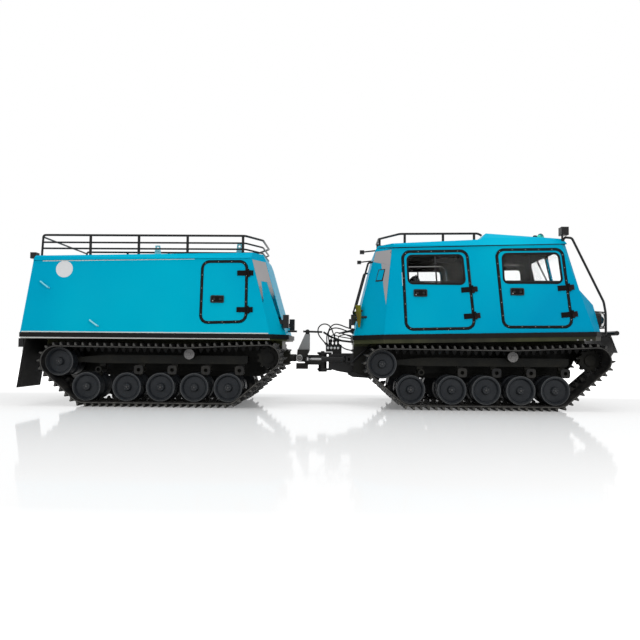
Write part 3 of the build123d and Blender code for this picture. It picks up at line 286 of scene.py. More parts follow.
def new_shader(name):
    """A new material, its node tree and its Principled shader."""
    material = bpy.data.materials.new(name)
    material.use_nodes = True
    return material, material.node_tree, material.node_tree.nodes["Principled BSDF"]


def fill_shader(tree, shader, **values):
    """Fills or joins a shader's inputs; underscores in the names stand for spaces."""
    for name, value in values.items():
        fill(tree, shader.inputs[name.replace("_", " ")], value)


def finish(name, base, dust=(0.3, 0.27, 0.22), dust_amount=0.25, patch_size=6.0, rough=0.5, dusty_rough=0.85,
           metal=0.0, specular=0.2, broad=(2.0, 0.0), fine=(200.0, 0.1), bump=0.001, top=0.9,
           second=None, drift=0.5, stretch=(1.0, 1.0, 1.0), lining=None, shaded_lining_colour=(0.020, 0.021, 0.019),
           fittings=None, fitting_colour=(0.009, 0.008, 0.008)):
    """A Principled material with settled dust and an uneven surface.

    second drifts the base to another tone, lining colours a shell's inside dark grey, partly as painted
    shade, and fittings colours all that lies past the given planes.
    """
    material, tree, shader = new_shader(name)
    ground = colour(*base)
    if second is not None:
        ground = group_node(tree, drift_group, First=ground, Second=colour(*second), Size=drift,
                            Stretch=stretch).outputs["Colour"]
    dusty = group_node(tree, dust_group, Colour=ground, Dust_Colour=colour(*dust), Amount=dust_amount,
                       Patch_Size=patch_size, High_Height=top)
    surface = group_node(tree, uneven_group, Broad_Size=broad[0], Broad_Depth=broad[1], Fine_Size=fine[0],
                         Fine_Depth=fine[1])
    tint = dusty.outputs["Colour"]
    roughness = spread(tree, dusty.outputs["Mask"], 0.0, 1.0, rough, dusty_rough)
    # The inside of a shell takes the dark lining colour: a grey deepened into painted shade.
    if lining is not None:
        inside = group_node(tree, shaded_lining_group, Middle=lining).outputs["Mask"]
        tint = mix_colour(tree, inside, tint, colour(*shaded_lining_colour))
        roughness = calculate(tree, "MAXIMUM", roughness, calculate(tree, "MULTIPLY", inside, 0.7))
    for weights, limit in fittings or []:
        fitting = group_node(tree, fitting_group, Weights=weights, Limit=limit).outputs["Mask"]
        tint = mix_colour(tree, fitting, tint, colour(*fitting_colour))
        roughness = calculate(tree, "MAXIMUM", roughness, calculate(tree, "MULTIPLY", fitting, 0.38))
    ripple = add_node(tree, "ShaderNodeBump", {"Height": surface.outputs["Height"], "Distance": bump,
                                               "Strength": 1.0})
    fill_shader(tree, shader, Base_Color=tint, Roughness=roughness, Normal=ripple.outputs["Normal"],
                Metallic=metal, Specular_IOR_Level=specular)
    return material


# %% [markdown]
# The enamel is a clear turquoise with little haze, so most of its look is the colour itself. Its panels are
# hand-formed sheet, so the reflections wander: the broad bump has waves about half a metre long and well
# under a millimetre deep. The side wall's plane, |y| + 0.09 z = 0.9742, and the tail wall's tell the black
# fittings from the paint.

# %% Paint finishes
front_middle, rear_middle = (1.95, 0.0, 1.45), (-2.05, 0.0, 1.35)
turquoise, deep_turquoise = (0.0, 0.355, 0.50), (0.0, 0.255, 0.43)
side_plane = ((0.0, 1.0, 0.09), 0.9742 + 0.0016)
tail_lean = (3.567 - 3.464) / (1.752 - 0.877)
tail_plane = ((1.0, 0.0, tail_lean), 3.567 + 0.877 * tail_lean + 0.0016)
# On the enamel the dust entry is a slightly greener turquoise: it lays that tone in patches, more of it low
# down.
paint = dict(second=deep_turquoise, drift=0.55, stretch=(1.0, 0.3, 0.7), dust=(0.03, 0.36, 0.46),
             dust_amount=0.10, patch_size=1.6, rough=0.30, dusty_rough=0.40, specular=0.01, broad=(1.9, 0.8),
             fine=(420.0, 0.006), bump=0.006, top=1.5)
front_enamel = finish("front_enamel", turquoise, lining=front_middle, **paint)
rear_enamel = finish("rear_enamel", turquoise, lining=rear_middle, **paint)
cabin_enamel = finish("cabin_enamel", turquoise, lining=front_middle, fittings=[side_plane],
                      fitting_colour=(0.020, 0.012, 0.012), **paint)
door_enamel = finish("door_enamel", turquoise, lining=front_middle, fittings=[side_plane], **paint)
box_enamel = finish("box_enamel", turquoise, lining=rear_middle, fittings=[side_plane, tail_plane], **paint)
# The fittings' tubes wear the body's turquoise made paler: the paleness is a painted highlight along their
# round tops.
trim_enamel = finish("trim_enamel", (0.26, 0.60, 0.67), **{**paint, "second": (0.12, 0.48, 0.58)})
print("finishes", len(bpy.data.materials))

# %% [markdown]
# The hulls are olive on the sponsons. Below the sponsons' lower edge a black coating covers the tubs.

# %% Metal finishes
coating_top = 0.745
hull_paint = finish("hull_paint", (0.046, 0.052, 0.018), dust=(0.13, 0.12, 0.07), dust_amount=0.45,
                    rough=0.45, second=(0.016, 0.017, 0.011), drift=0.9, stretch=(1.0, 0.2, 0.4),
                    specular=0.15, broad=(5.0, 0.3), bump=0.002, fittings=[((0.0, 0.0, -1.0), -coating_top)],
                    fitting_colour=(0.009, 0.009, 0.007))
black_paint = finish("black_paint", (0.006, 0.006, 0.0065), dust=(0.06, 0.056, 0.052), dust_amount=0.2,
                     rough=0.36, fine=(300.0, 0.2), specular=0.25)
frame_paint = finish("frame_paint", (0.006, 0.0062, 0.0055), dust=(0.04, 0.037, 0.028), dust_amount=0.5,
                     rough=0.5, fine=(120.0, 0.5), specular=0.15)
cast_metal = finish("cast_metal", (0.012, 0.012, 0.0125), dust=(0.07, 0.063, 0.05), dust_amount=0.4,
                    rough=0.5, metal=0.2, fine=(90.0, 0.8), specular=0.25)
bright_steel = finish("bright_steel", (0.42, 0.42, 0.42), dust=(0.2, 0.19, 0.17), dust_amount=0.35,
                      rough=0.32, metal=0.9, fine=(500.0, 0.15))
grey_casting = finish("grey_casting", (0.17, 0.165, 0.165), dust=(0.28, 0.27, 0.25), dust_amount=0.4,
                      rough=0.5, metal=0.35, fine=(110.0, 0.7))
print("finishes", len(bpy.data.materials))

# %% [markdown]
# Rubber never shines evenly. Track rubber is dull and dusty, the wheels carry a smooth moulded skin with a
# faint sheen, and gaskets and strips are clean and almost black.

# %% Rubber, plastic and board finishes
track_rubber = finish("track_rubber", (0.0075, 0.0075, 0.008), dust=(0.075, 0.07, 0.06), dust_amount=0.45,
                      patch_size=14.0, rough=0.55, fine=(260.0, 0.9), specular=0.15)
# The pale rubber is partly wear and partly a painted highlight on the cleats' ends and the belt's rim.
worn_rubber = finish("worn_rubber", (0.045, 0.044, 0.042), dust=(0.14, 0.135, 0.12), dust_amount=0.6,
                     patch_size=18.0, rough=0.5, fine=(260.0, 0.9), specular=0.2)
wheel_rubber = finish("wheel_rubber", (0.0125, 0.0145, 0.0175), dust=(0.05, 0.052, 0.054), dust_amount=0.4,
                      patch_size=9.0, rough=0.42, fine=(220.0, 0.35), top=0.8, specular=0.2)
strip_rubber = finish("strip_rubber", (0.0055, 0.005, 0.005), dust=(0.04, 0.038, 0.035), dust_amount=0.25,
                      rough=0.5, fine=(350.0, 0.4), specular=0.12)
grained_plastic = finish("grained_plastic", (0.02, 0.02, 0.021), dust=(0.06, 0.06, 0.06), dust_amount=0.2,
                         rough=0.6, fine=(900.0, 0.8), specular=0.15)
floor_board = finish("floor_board", (0.11, 0.065, 0.035), second=(0.07, 0.042, 0.024), drift=14.0,
                     stretch=(0.12, 1.0, 1.0), dust=(0.2, 0.18, 0.15), dust_amount=0.4, rough=0.6, top=1.4,
                     fine=(140.0, 0.8))
print("finishes", len(bpy.data.materials))

# %% [markdown]
# Window glass is a real pane 6 mm thick, so plain transmission is enough. A clean pane in a white room gives
# back very little, so its refractive index is set low; a thin film of dust tints it in patches. The lamps
# have a clearer lens over a bright bowl.


# %% Glass and lens finishes
def glass_finish(name, tint, film, index=1.45, rough=0.0):
    """A clear or tinted glass; the film colours what is seen through it in slow patches."""
    material, tree, shader = new_shader(name)
    patchy = group_node(tree, drift_group, First=colour(*tint), Second=colour(*film), Size=2.5)
    fill_shader(tree, shader, Base_Color=patchy.outputs["Colour"], Transmission_Weight=1.0, IOR=index,
                Roughness=rough)
    return material


window_glass = glass_finish("window_glass", (0.995, 1.0, 1.0), (0.965, 0.98, 0.98), index=1.12)
lamp_lens = glass_finish("lamp_lens", (0.96, 0.97, 0.98), (0.88, 0.90, 0.92), rough=0.04)
teal_lens = glass_finish("teal_lens", (0.02, 0.42, 0.34), (0.03, 0.55, 0.42), index=1.35, rough=0.12)
amber_lens = glass_finish("amber_lens", (0.95, 0.36, 0.05), (0.9, 0.28, 0.04), index=1.35, rough=0.12)
print("finishes", len(bpy.data.materials))

# %% [markdown]
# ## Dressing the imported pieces
#
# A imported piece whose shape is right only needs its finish. A table from name to finish does the whole
# vehicle at once, and the print shows that none was missed.

# %% Give every node its finish
finish_users = [
    (cabin_enamel, "front_cabin"), (front_enamel, "front_roof front_bonnet"),
    (door_enamel, "right_front_door left_front_door right_crew_door left_crew_door"),
    (box_enamel, "rear_box tail_door right_cargo_door left_cargo_door"), (rear_enamel, "rear_roof"),
    (trim_enamel, "rear_fittings"), (floor_board, "rear_load_floor"), (hull_paint, "front_tub rear_tub"),
    (strip_rubber, "front_strips rear_strips"), (wheel_rubber, "front_wheels rear_wheels"),
    (track_rubber, "rear_mud_flaps front_right_track front_left_track rear_right_track rear_left_track"),
    (frame_paint, "front_track_frames rear_track_frames front_sprockets rear_sprockets"),
    (cast_metal, "steering_knuckle roll_link engine_block valve_block"),
    (grained_plastic, "dashboard engine_cover steering_wheel front_seats"),
    (bright_steel, "left_steering_rod right_steering_rod"),
    (window_glass, "front_windscreen right_front_door_glass left_front_door_glass right_crew_door_glass "
                   "left_crew_door_glass"),
]
node_finishes = {name: material for material, names in finish_users for name in names.split()}


def wear(piece, material):
    """Puts one finish on every slot of a piece."""
    if not piece.data.materials:
        piece.data.materials.append(material)
    for index in range(len(piece.data.materials)):
        piece.data.materials[index] = material


for name, node in nodes.items():
    wear(node, node_finishes.get(name, black_paint))
print("plain black:", sorted(set(nodes) - set(node_finishes)))

# %% [markdown]
# ## Shapes from arrays
#
# Almost everything below is a grid of points: a profile carried along a line, or turned round an axis. One
# function turns such a grid into a closed skin. A skin can come out inside out, and a wrong normal spoils
# both the picture and the collision shapes. The signed volume settles it: add up the little pyramids from
# the origin to each face, and if the sum is negative, every face is read backwards.


# %% Shell helpers
def lattice(rows, columns, wrap_rows=False):
    """Quads over a grid of points whose columns close on themselves; with wrap_rows the rows close too."""
    row, column = np.meshgrid(np.arange(rows if wrap_rows else rows - 1), np.arange(columns), indexing="ij")
    next_row, next_column = (row + 1) % rows, (column + 1) % columns
    return np.stack([row * columns + column, next_row * columns + column,
                     next_row * columns + next_column, row * columns + next_column], axis=-1).reshape(-1, 4)


def shell(grid, wrap_rows=False):
    """A closed skin over grid[row, column]: its points, its quads and its triangles, facing outwards.

    The columns always close. The rows close as in a ring, or each end row is closed by a fan to its middle.
    Volume = sum over faces of a . (b x c) / 6.
    """
    rows, columns = grid.shape[:2]
    points, quads, triangles = grid.reshape(-1, 3), lattice(rows, columns, wrap_rows), np.empty((0, 3), int)
    if not wrap_rows:
        points = np.concatenate([points, grid[[0, -1]].mean(axis=1)])
        here = np.arange(columns)
        after, last, middle = (here + 1) % columns, (rows - 1) * columns, np.full(columns, rows * columns)
        triangles = np.concatenate([np.stack([here, after, middle], 1),
                                    np.stack([last + after, last + here, middle + 1], 1)])
    corners = points[np.concatenate([quads[:, :3], quads[:, [0, 2, 3]], triangles])]
    volume = np.einsum("fi,fi->", corners[:, 0], np.cross(corners[:, 1], corners[:, 2])) / 6
    if volume < 0:
        quads, triangles = quads[:, ::-1], triangles[:, ::-1]
    return points, quads, triangles


def together(*shells):
    """Several shells as one; the faces of each are counted on past the points before it."""
    past = np.cumsum([0] + [len(one[0]) for one in shells[:-1]])
    return (np.concatenate([one[0] for one in shells]),
            np.concatenate([one[1] + start for one, start in zip(shells, past)]),
            np.concatenate([one[2] + start for one, start in zip(shells, past)]))


def mirrored(one):
    """The same shell on the vehicle's other side: y changes sign, and each face is read backwards."""
    return one[0] * [1, -1, 1], one[1][:, ::-1], one[2][:, ::-1]


def both(one):
    """A shell and its mirror image as one."""
    return together(one, mirrored(one))


sides = (("right", lambda one: one), ("left", mirrored))
origin, up, rightward = (0.0, 0.0, 0.0), (0.0, 0.0, 1.0), (0.0, -1.0, 0.0)


def copies(one, places, axes=None):
    """A shell repeated at each place; axes[n] holds the three directions that copy n's x, y and z take."""
    places = np.atleast_2d(places)
    points = np.broadcast_to(one[0], (len(places), *one[0].shape)) if axes is None \
        else np.einsum("pi,nij->npj", one[0], np.broadcast_to(axes, (len(places), 3, 3)))
    past = (np.arange(len(places)) * len(one[0]))[:, None, None]
    return ((points + places[:, None]).reshape(-1, 3), (one[1] + past).reshape(-1, 4),
            (one[2] + past).reshape(-1, 3))


made = []
crisp_angle = 32.0


def mesh_object(name, points, faces, material=None):
    """A smooth mesh as an object in the scene."""
    mesh = bpy.data.meshes.new(name)
    mesh.from_pydata(np.asarray(points).tolist(), [], faces)
    mesh.polygons.foreach_set("use_smooth", np.ones(len(mesh.polygons), bool))
    if material:
        mesh.materials.append(material)
    thing = bpy.data.objects.new(name, mesh)
    scene.collection.objects.link(thing)
    return thing


def piece(name, one, material, body, slot):
    """A shell as an object that rides on a body; edges that turn by more than crisp_angle stay sharp."""
    thing = mesh_object(name, one[0], one[1].tolist() + one[2].tolist(), material)
    thing.data.set_sharp_from_angle(angle=radians(crisp_angle))
    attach(thing, body)
    made.append((name, len(one[1]) * 2 + len(one[2])))
    return thing


# %% [markdown]
# Four shapes cover the rest of the vehicle. A ring carries a profile round a closed line, a turned shape
# spins one about an axis, a slab is a flat outline with thickness and a small bevel, and a tube follows a
# path.

# %% Ring, turned shape, slab and tube
def unit(vectors):
    """Vectors divided by their own lengths."""
    return vectors / np.linalg.norm(vectors, axis=-1, keepdims=True)


def ring(line, out, profile):
    """A profile of (inward, outward) pairs carried round a closed line.

    point = line + inward * (tangent x out) + outward * out, with the tangent halfway between the two legs.
    """
    ahead = unit(np.roll(line, -1, axis=0) - line)
    across = unit(np.cross(ahead + np.roll(ahead, 1, axis=0), out))
    if np.dot(across[0], line.mean(axis=0) - line[0]) < 0:
        across = -across
    profile = np.asarray(profile)
    return shell(line[:, None] + profile[:, :1] * across[:, None] + profile[:, 1:] * np.asarray(out),
                 wrap_rows=True)


slanting = (0.31, 0.47, 0.83)     # parallel to no axis used here, so a cross product with it never vanishes


def circle(count):
    """Cosine and sine at even angles round a circle."""
    angle = np.linspace(0, 2 * pi, count, endpoint=False)
    return np.cos(angle), np.sin(angle)


def turned(profile, centre, axis, count):
    """A profile of (along, radius) pairs spun about an axis.

    point = centre + along * axis + radius * (side * cos a + (axis x side) * sin a)
    """
    axis = unit(np.asarray(axis, float))
    side = unit(np.cross(axis, slanting))
    cosine, sine = circle(count)
    around = np.outer(cosine, side) + np.outer(sine, np.cross(axis, side))
    profile = np.asarray(profile, float)
    return shell(np.asarray(centre) + profile[:, None, :1] * axis + profile[:, None, 1:] * around)


def slab(outline, out, low, high, bevel=0.001):
    """A flat outline from low to high along out, its top edge drawn in by the bevel towards the middle."""
    outline, out = np.asarray(outline, float), unit(np.asarray(out, float))
    inward = unit(outline.mean(axis=0) - outline) * bevel
    return shell(np.stack([outline + low * out, outline + (high - bevel) * out,
                           outline + inward + high * out]))


def eased(points, reach, steps=6):
    """A path whose corners turn smoothly: (1 - t)^2 before + 2 t (1 - t) corner + t^2 after."""
    points = np.asarray(points, float)
    toward = unit(np.diff(points, axis=0))
    corner = points[1:-1, None]
    before, after = corner - toward[:-1, None] * reach, corner + toward[1:, None] * reach
    share = np.linspace(0, 1, steps)[None, :, None]
    turns = (1 - share) ** 2 * before + 2 * share * (1 - share) * corner + share ** 2 * after
    return np.concatenate([points[:1], turns.reshape(-1, 3), points[-1:]])


def tube(points, radius, count=12):
    """A round bar along a path: each ring stands across the mean of the two legs that meet there."""
    points = np.asarray(points, float)
    toward = unit(np.diff(points, axis=0))
    along = unit(np.concatenate([toward[:1], toward]) + np.concatenate([toward, toward[-1:]]))
    side = unit(np.cross(along, slanting))
    cosine, sine = (part[:, None] for part in circle(count))
    return shell(points[:, None] + radius * (cosine * side[:, None] + sine * np.cross(along, side)[:, None]))


def shifted(one, move):
    """The same shell moved."""
    return one[0] + np.asarray(move, float), one[1], one[2]


def rounded(corners, radius, steps=8):
    """A flat outline of (x, z) corners rounded to a radius.

    An arc starts radius * tan(turn / 2) before its corner; each point is the start turned about the centre.
    """
    corners = np.asarray(corners, float)
    ahead = unit(np.roll(corners, -1, axis=0) - corners)
    coming = np.roll(ahead, 1, axis=0)
    turn = np.arctan2(coming[:, 0] * ahead[:, 1] - coming[:, 1] * ahead[:, 0], (coming * ahead).sum(axis=1))
    start = corners - coming * (radius * np.tan(np.abs(turn) / 2))[:, None]
    centre = start + np.stack([-coming[:, 1], coming[:, 0]], 1) * (np.sign(turn) * radius)[:, None]
    angle = turn[:, None] * np.linspace(0, 1, steps)
    spoke = (start - centre)[:, None]
    points = centre[:, None] + np.stack([spoke[..., 0] * np.cos(angle) - spoke[..., 1] * np.sin(angle),
                                         spoke[..., 0] * np.sin(angle) + spoke[..., 1] * np.cos(angle)], -1)
    return points.reshape(-1, 2)


def drawn_in(corners, distance):
    """Clockwise (x, z) corners moved inwards: corner + distance * (n0 + n1) / (1 + n0 . n1)."""
    corners = np.asarray(corners, float)
    ahead = unit(np.roll(corners, -1, axis=0) - corners)
    normal = np.stack([ahead[:, 1], -ahead[:, 0]], 1)
    before = np.roll(normal, 1, axis=0)
    return corners + distance * (normal + before) / (1 + (normal * before).sum(axis=1, keepdims=True))


def every(line, gap):
    """Points at even distances round a closed line, about gap apart."""
    closed = np.concatenate([line, line[:1]])
    run = np.concatenate([[0], np.cumsum(np.linalg.norm(np.diff(closed, axis=0), axis=1))])
    count = max(1, round(run[-1] / gap))
    at = (np.arange(count) + 0.5) * run[-1] / count
    return np.stack([np.interp(at, run, closed[:, axis]) for axis in range(3)], 1)


print("a rounded square has", len(rounded([(0, 1), (1, 1), (1, 0), (0, 0)], 0.1)), "points")

# %% [markdown]
# The side walls lean in by 90 mm for each metre of height. One function puts a side-view outline on the
# right-hand wall, so a gasket can be drawn in two measures, x and z, and still lie flush.

# %% The side wall
side_lean, side_half, side_height = 0.09, 0.895, 0.88
side_out = np.array([0.0, -1.0, side_lean]) / hypot(1, side_lean)


def on_side(outline, out=0.0):
    """Side-view points laid on the right-hand wall, y = -(0.895 - 0.09 (z - 0.88)), and moved out from it."""
    x, z = np.asarray(outline, float).T
    return np.stack([x, -(side_half - side_lean * (z - side_height)), z], 1) + out * side_out


def bulb(width, height, depth, square=0.55, steps=11, shift=0.0):
    """A rubber profile on a foot: a flattened arch, width * |cos|^square by height * |sin|^square."""
    angle = np.linspace(pi, 0, steps)
    arch = np.stack([np.sign(np.cos(angle)) * np.abs(np.cos(angle)) ** square * width / 2 + shift,
                     np.sin(angle) ** square * height], 1)
    return np.concatenate([[(shift - width / 2, -depth)], arch, [(shift + width / 2, -depth)]])


print("side wall normal", side_out.round(4))

# %% [markdown]
# ## Hoses
#
# The steering hoses are cut lengths of rubber, so they are curves, not bent pipes. Each is a NURBS curve
# whose control points are the route's own points. It starts on the valve block, loops over the joint and
# goes into the front car. The order and the end points are set after the points, or the curve would stay
# straight.

# %% Hoses over the steering joint
hose_rubber = finish("hose_rubber", (0.006, 0.006, 0.0065), dust=(0.05, 0.046, 0.04), dust_amount=0.3,
                     rough=0.40, fine=(500.0, 0.5), specular=0.2)
hose_radius = 0.008
hose_routes = {
    "hose_long_loop": [(0.070, -0.066, 0.790), (0.020, -0.068, 0.845), (-0.020, -0.072, 0.906),
                       (-0.022, -0.078, 0.982), (0.030, -0.084, 1.034), (0.104, -0.090, 1.034),
                       (0.156, -0.096, 0.982), (0.178, -0.102, 0.912), (0.208, -0.108, 0.844),
                       (0.246, -0.114, 0.780), (0.300, -0.122, 0.728), (0.364, -0.130, 0.700),
                       (0.418, -0.134, 0.692)],
    "hose_high_arch": [(0.128, -0.044, 0.790), (0.118, -0.042, 0.855), (0.112, -0.038, 0.925),
                       (0.138, -0.034, 1.000), (0.200, -0.028, 1.040), (0.276, -0.024, 1.026),
                       (0.350, -0.020, 0.994), (0.424, -0.018, 0.972)],
    "hose_low_arch": [(0.096, 0.034, 0.790), (0.092, 0.036, 0.850), (0.100, 0.040, 0.915),
                      (0.140, 0.046, 0.972), (0.206, 0.050, 0.992), (0.280, 0.054, 0.978),
                      (0.352, 0.058, 0.950), (0.424, 0.060, 0.930)],
}

for name, route in hose_routes.items():
    curve = bpy.data.curves.new(name, "CURVE")
    curve.dimensions = "3D"
    spline = curve.splines.new("NURBS")
    spline.points.add(len(route) - 1)
    spline.points.foreach_set("co", np.hstack([np.array(route), np.ones((len(route), 1))]).ravel())
    spline.order_u = 3
    spline.use_endpoint_u = True
    curve.resolution_u = 12
    curve.bevel_depth = hose_radius
    curve.bevel_resolution = 4
    curve.use_fill_caps = True
    curve.materials.append(hose_rubber)
    hose = bpy.data.objects.new("soft_" + name, curve)
    scene.collection.objects.link(hose)
    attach(hose, "front_car")
    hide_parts(name)

# %% [markdown]
# ## Gaskets
#
# A black rubber seal runs round every door and window, and small clips hold it at intervals. A door's seal is
# fixed to the door, so it rides with it. A window's rubber covers the edge of the opening and reaches in to
# the glass, which is why its foot is deeper.

# %% Doors and windows
door_outlines = {
    "front": [(2.105, 1.930), (2.925, 1.942), (3.015, 0.972), (2.175, 0.964)],
    "crew": [(0.984, 1.900), (1.790, 1.916), (1.870, 0.948), (1.028, 0.927)],
    "cargo": [(-1.420, 1.765), (-0.848, 1.772), (-0.843, 1.006), (-1.422, 0.988)],
}
window_outlines = {
    "front": [(2.195, 1.866), (2.868, 1.878), (2.902, 1.510), (2.205, 1.508)],
    "crew": [(1.058, 1.838), (1.722, 1.850), (1.752, 1.490), (1.074, 1.494)],
}
door_gap, seal_width, seal_height = 0.006, 0.030, 0.0065
clip_metal = finish("clip_metal", (0.24, 0.235, 0.23), rough=0.4, metal=0.7, dust_amount=0.4)
clip = turned([(-0.001, 0.0055), (0.0006, 0.0055), (0.0018, 0.004), (0.0022, 0.0015)], origin, up, 10)
side_axes = np.stack([np.array([1.0, 0.0, 0.0]), np.cross(side_out, [1.0, 0.0, 0.0]), side_out])

for door, corners in door_outlines.items():
    middle = door_gap + seal_width / 2
    line = on_side(rounded(drawn_in(corners, middle), 0.105 - middle, 9))
    seal = ring(line, side_out, bulb(seal_width, seal_height, 0.001))
    clips = copies(clip, every(line, 0.155) + side_out * seal_height * 0.97, side_axes)
    for side, turn in sides:
        piece(f"{side}_{door}_door_seal", turn(seal), strip_rubber, f"{side}_{door}_door", "black_rubber")
        piece(f"{side}_{door}_door_clips", turn(clips), clip_metal, f"{side}_{door}_door", "steel_grey")
    print(door, "seal", round(float(np.linalg.norm(np.diff(line, axis=0), axis=1).sum()), 2), "m")

# %% Window rubbers and slider bars
frame_black = finish("frame_black", (0.012, 0.012, 0.0125), rough=0.4, dust=(0.06, 0.06, 0.06),
                     dust_amount=0.2, fine=(600.0, 0.3))
divider_ends = {"front": (2.509, 2.541), "crew": (1.390, 1.413)}
bar_half, sill_inset, sill_top, sill_foot = 0.009, 0.030, 0.034, 0.016
for door, corners in window_outlines.items():
    line = on_side(rounded(corners, 0.060, 9))
    rubber = ring(line, side_out, bulb(0.024, 0.0055, 0.0088, shift=0.003))
    top_x, foot_x = divider_ends[door]
    (_, top_z), (_, foot_z) = corners[0], corners[3]
    bar = on_side([(top_x - bar_half, top_z), (top_x + bar_half, top_z), (foot_x + bar_half, foot_z),
                   (foot_x - bar_half, foot_z)])
    divider = slab(bar, side_out, -0.0092, 0.001, 0.002)
    back_x, ahead_x = corners[3][0] + sill_inset, corners[2][0] - sill_inset
    sill = on_side(rounded([(back_x, foot_z + sill_top), (ahead_x, foot_z + sill_top),
                            (ahead_x, foot_z + sill_foot), (back_x, foot_z + sill_foot)], 0.004, 3))
    track_rail = slab(sill, side_out, -0.0092, -0.003, 0.001)
    for side, turn in sides:
        piece(f"{side}_{door}_window_rubber", turn(rubber), strip_rubber, f"{side}_{door}_door",
              "black_rubber")
        piece(f"{side}_{door}_window_bars", turn(together(divider, track_rail)), frame_black,
              f"{side}_{door}_door", "black_paint")
print("pieces so far", len(made))

# %% [markdown]
# Each door opens with a flush handle: a black frame with rounded corners, a paddle that lies in it and a
# small bright lock at one end. The solid has the plate and the dish, and these add the parts that the eye
# can see.

# %% Handles
handle_places = {"front": (2.360, 1.405), "crew": (1.215, 1.382), "cargo": (-1.210, 1.292)}
handle_long, handle_high, handle_proud = 0.158, 0.084, 0.011
handle_black = finish("handle_black", (0.010, 0.008, 0.008), rough=0.32, dust=(0.05, 0.05, 0.05),
                      dust_amount=0.2, specular=0.3)
lock = turned([(0.0, 0.007), (0.004, 0.007), (0.0055, 0.005), (0.0055, 0.001)], origin, up, 14)


def upright(centre, wide, high, radius):
    """A rounded rectangle's outline about a centre, in x and z, clockwise."""
    (x, z), w, h = centre, wide / 2, high / 2
    return rounded([(x - w, z + h), (x + w, z + h), (x + w, z - h), (x - w, z - h)], radius, 5)


for door, (x, z) in handle_places.items():
    frame_line = on_side(upright((x, z), handle_long - 0.010, handle_high - 0.010, 0.014), handle_proud)
    frame = ring(frame_line, side_out, bulb(0.016, 0.004, 0.002))
    bar_line = on_side(upright((x, z - 0.004), 0.110, 0.026, 0.006), handle_proud)
    bar = slab(bar_line, side_out, -0.003, 0.0075, 0.003)
    pin_line = on_side([(x - 0.058, z + 0.020), (x + 0.058, z + 0.020)], handle_proud - 0.001)
    hinge_pin = tube(pin_line, 0.005, 10)
    lock_place = on_side([(x - 0.052, z - 0.021)], handle_proud - 0.001)
    for side, turn in sides:
        piece(f"{side}_{door}_door_handle_frame", turn(together(frame, bar, hinge_pin)), handle_black,
              f"{side}_{door}_door", "black_paint")
        piece(f"{side}_{door}_door_lock", turn(copies(lock, lock_place, side_axes)), bright_steel,
              f"{side}_{door}_door", "steel_grey")
print("handles", 2 * len(handle_places))

# %% [markdown]
# ## Bright corner sheets
#
# Where a side wall meets an end wall the corner is cut off by a flat facet, and on those facets the real
# vehicle wears a polished sheet. It mirrors the white surroundings, so it needs to be a true smooth metal on
# its
# own thin plate: painting it on would not give the clean edge. Where it mirrors the other car's turquoise, no
# plate is laid and the facet keeps its turquoise paint, a painted reflection.

# %% Polished sheets on the corner facets
polished = finish("polished_sheet", (0.33, 0.32, 0.325), rough=0.10, dusty_rough=0.2, metal=1.0,
                  dust_amount=0.1, second=(0.27, 0.27, 0.28), drift=1.4, broad=(3.0, 0.5), bump=0.003)


def facet(foot_end, foot_side, top_side, wall_top):
    """A corner facet's four corners and its normal.

    The plane comes from three points: dot(normal, p) = dot(normal, foot_end). The fourth corner lies on that
    plane at the end wall's top edge, and the third at the same height on the side wall's edge.
    """
    foot_end, foot_side, top_side = (np.array(point) for point in (foot_end, foot_side, top_side))
    normal = unit(np.cross(foot_side - foot_end, top_side - foot_end))
    normal = normal if normal[1] < 0 else -normal
    top_x, top_z = wall_top
    share = (top_z - foot_side[2]) / (top_side[2] - foot_side[2])
    high_side = foot_side + share * (top_side - foot_side)
    high_y = (normal @ foot_end - normal[0] * top_x - normal[2] * top_z) / normal[1]
    return np.array([foot_end, foot_side, high_side, [top_x, high_y, top_z]]), normal


def on_facet(corners, shares):
    """Points at shares (u, v) of a facet: u from the end wall to the side wall, v from foot to top."""
    u, v = np.asarray(shares, float)[:, :1], np.asarray(shares, float)[:, 1:]
    return ((1 - u) * (1 - v) * corners[0] + u * (1 - v) * corners[1] + u * v * corners[2]
            + (1 - u) * v * corners[3])


def facet_plates(corners, normal, plates, thick=0.0012):
    """Thin plates over parts of a facet, each given by its corners' shares."""
    return together(*(slab(on_facet(corners, plate), normal, -0.002, thick, 0.0005) for plate in plates))


front_facet, front_out = facet((0.441, -0.560, 0.883), (0.784, -0.894, 0.883), (0.892, -0.796, 1.986),
                               (0.693, 1.929))
rear_facet, rear_out = facet((-0.404, -0.560, 0.878), (-0.571, -0.893, 0.878), (-0.835, -0.803, 1.872),
                             (-0.669, 1.799))
# The plates cover only the parts of a facet that mirror the white room; the bare parts show the paint as a
# painted reflection of the other car.
front_sheet = facet_plates(front_facet, front_out, [
    [(0.04, 0.98), (0.96, 0.98), (0.96, 0.80), (0.04, 0.86)],
    [(0.96, 0.80), (0.50, 0.83), (0.80, 0.52), (0.96, 0.34)]])
rear_sheet = facet_plates(rear_facet, rear_out, [
    [(0.04, 0.98), (0.96, 0.98), (0.96, 0.70), (0.04, 0.70)],
    [(0.04, 0.70), (0.34, 0.70), (0.20, 0.20), (0.04, 0.20)],
    [(0.96, 0.70), (0.72, 0.70), (0.88, 0.44), (0.96, 0.40)]])
piece("front_corner_sheets", both(front_sheet), polished, "front_car", "steel_grey")
piece("rear_corner_sheets", both(rear_sheet), polished, "rear_car", "steel_grey")
recess_plate = facet_plates(front_facet, front_out, [
    [(0.42, 0.76), (0.74, 0.76), (0.70, 0.62), (0.38, 0.62)]], 0.004)
recess_cover = facet_plates(front_facet, front_out, [
    [(0.46, 0.75), (0.71, 0.75), (0.67, 0.635), (0.42, 0.635)]], 0.007)
piece("front_corner_frames", both(recess_plate), black_paint, "front_car", "black_paint")
piece("front_corner_covers", both(recess_cover), front_enamel, "front_car", "body_blue")

# %% [markdown]
# A folded strap hangs on each rear corner of the cabin. Its canvas is olive, faded to brown in places, and it
# wraps the strap's plate all round, a little past its edges.

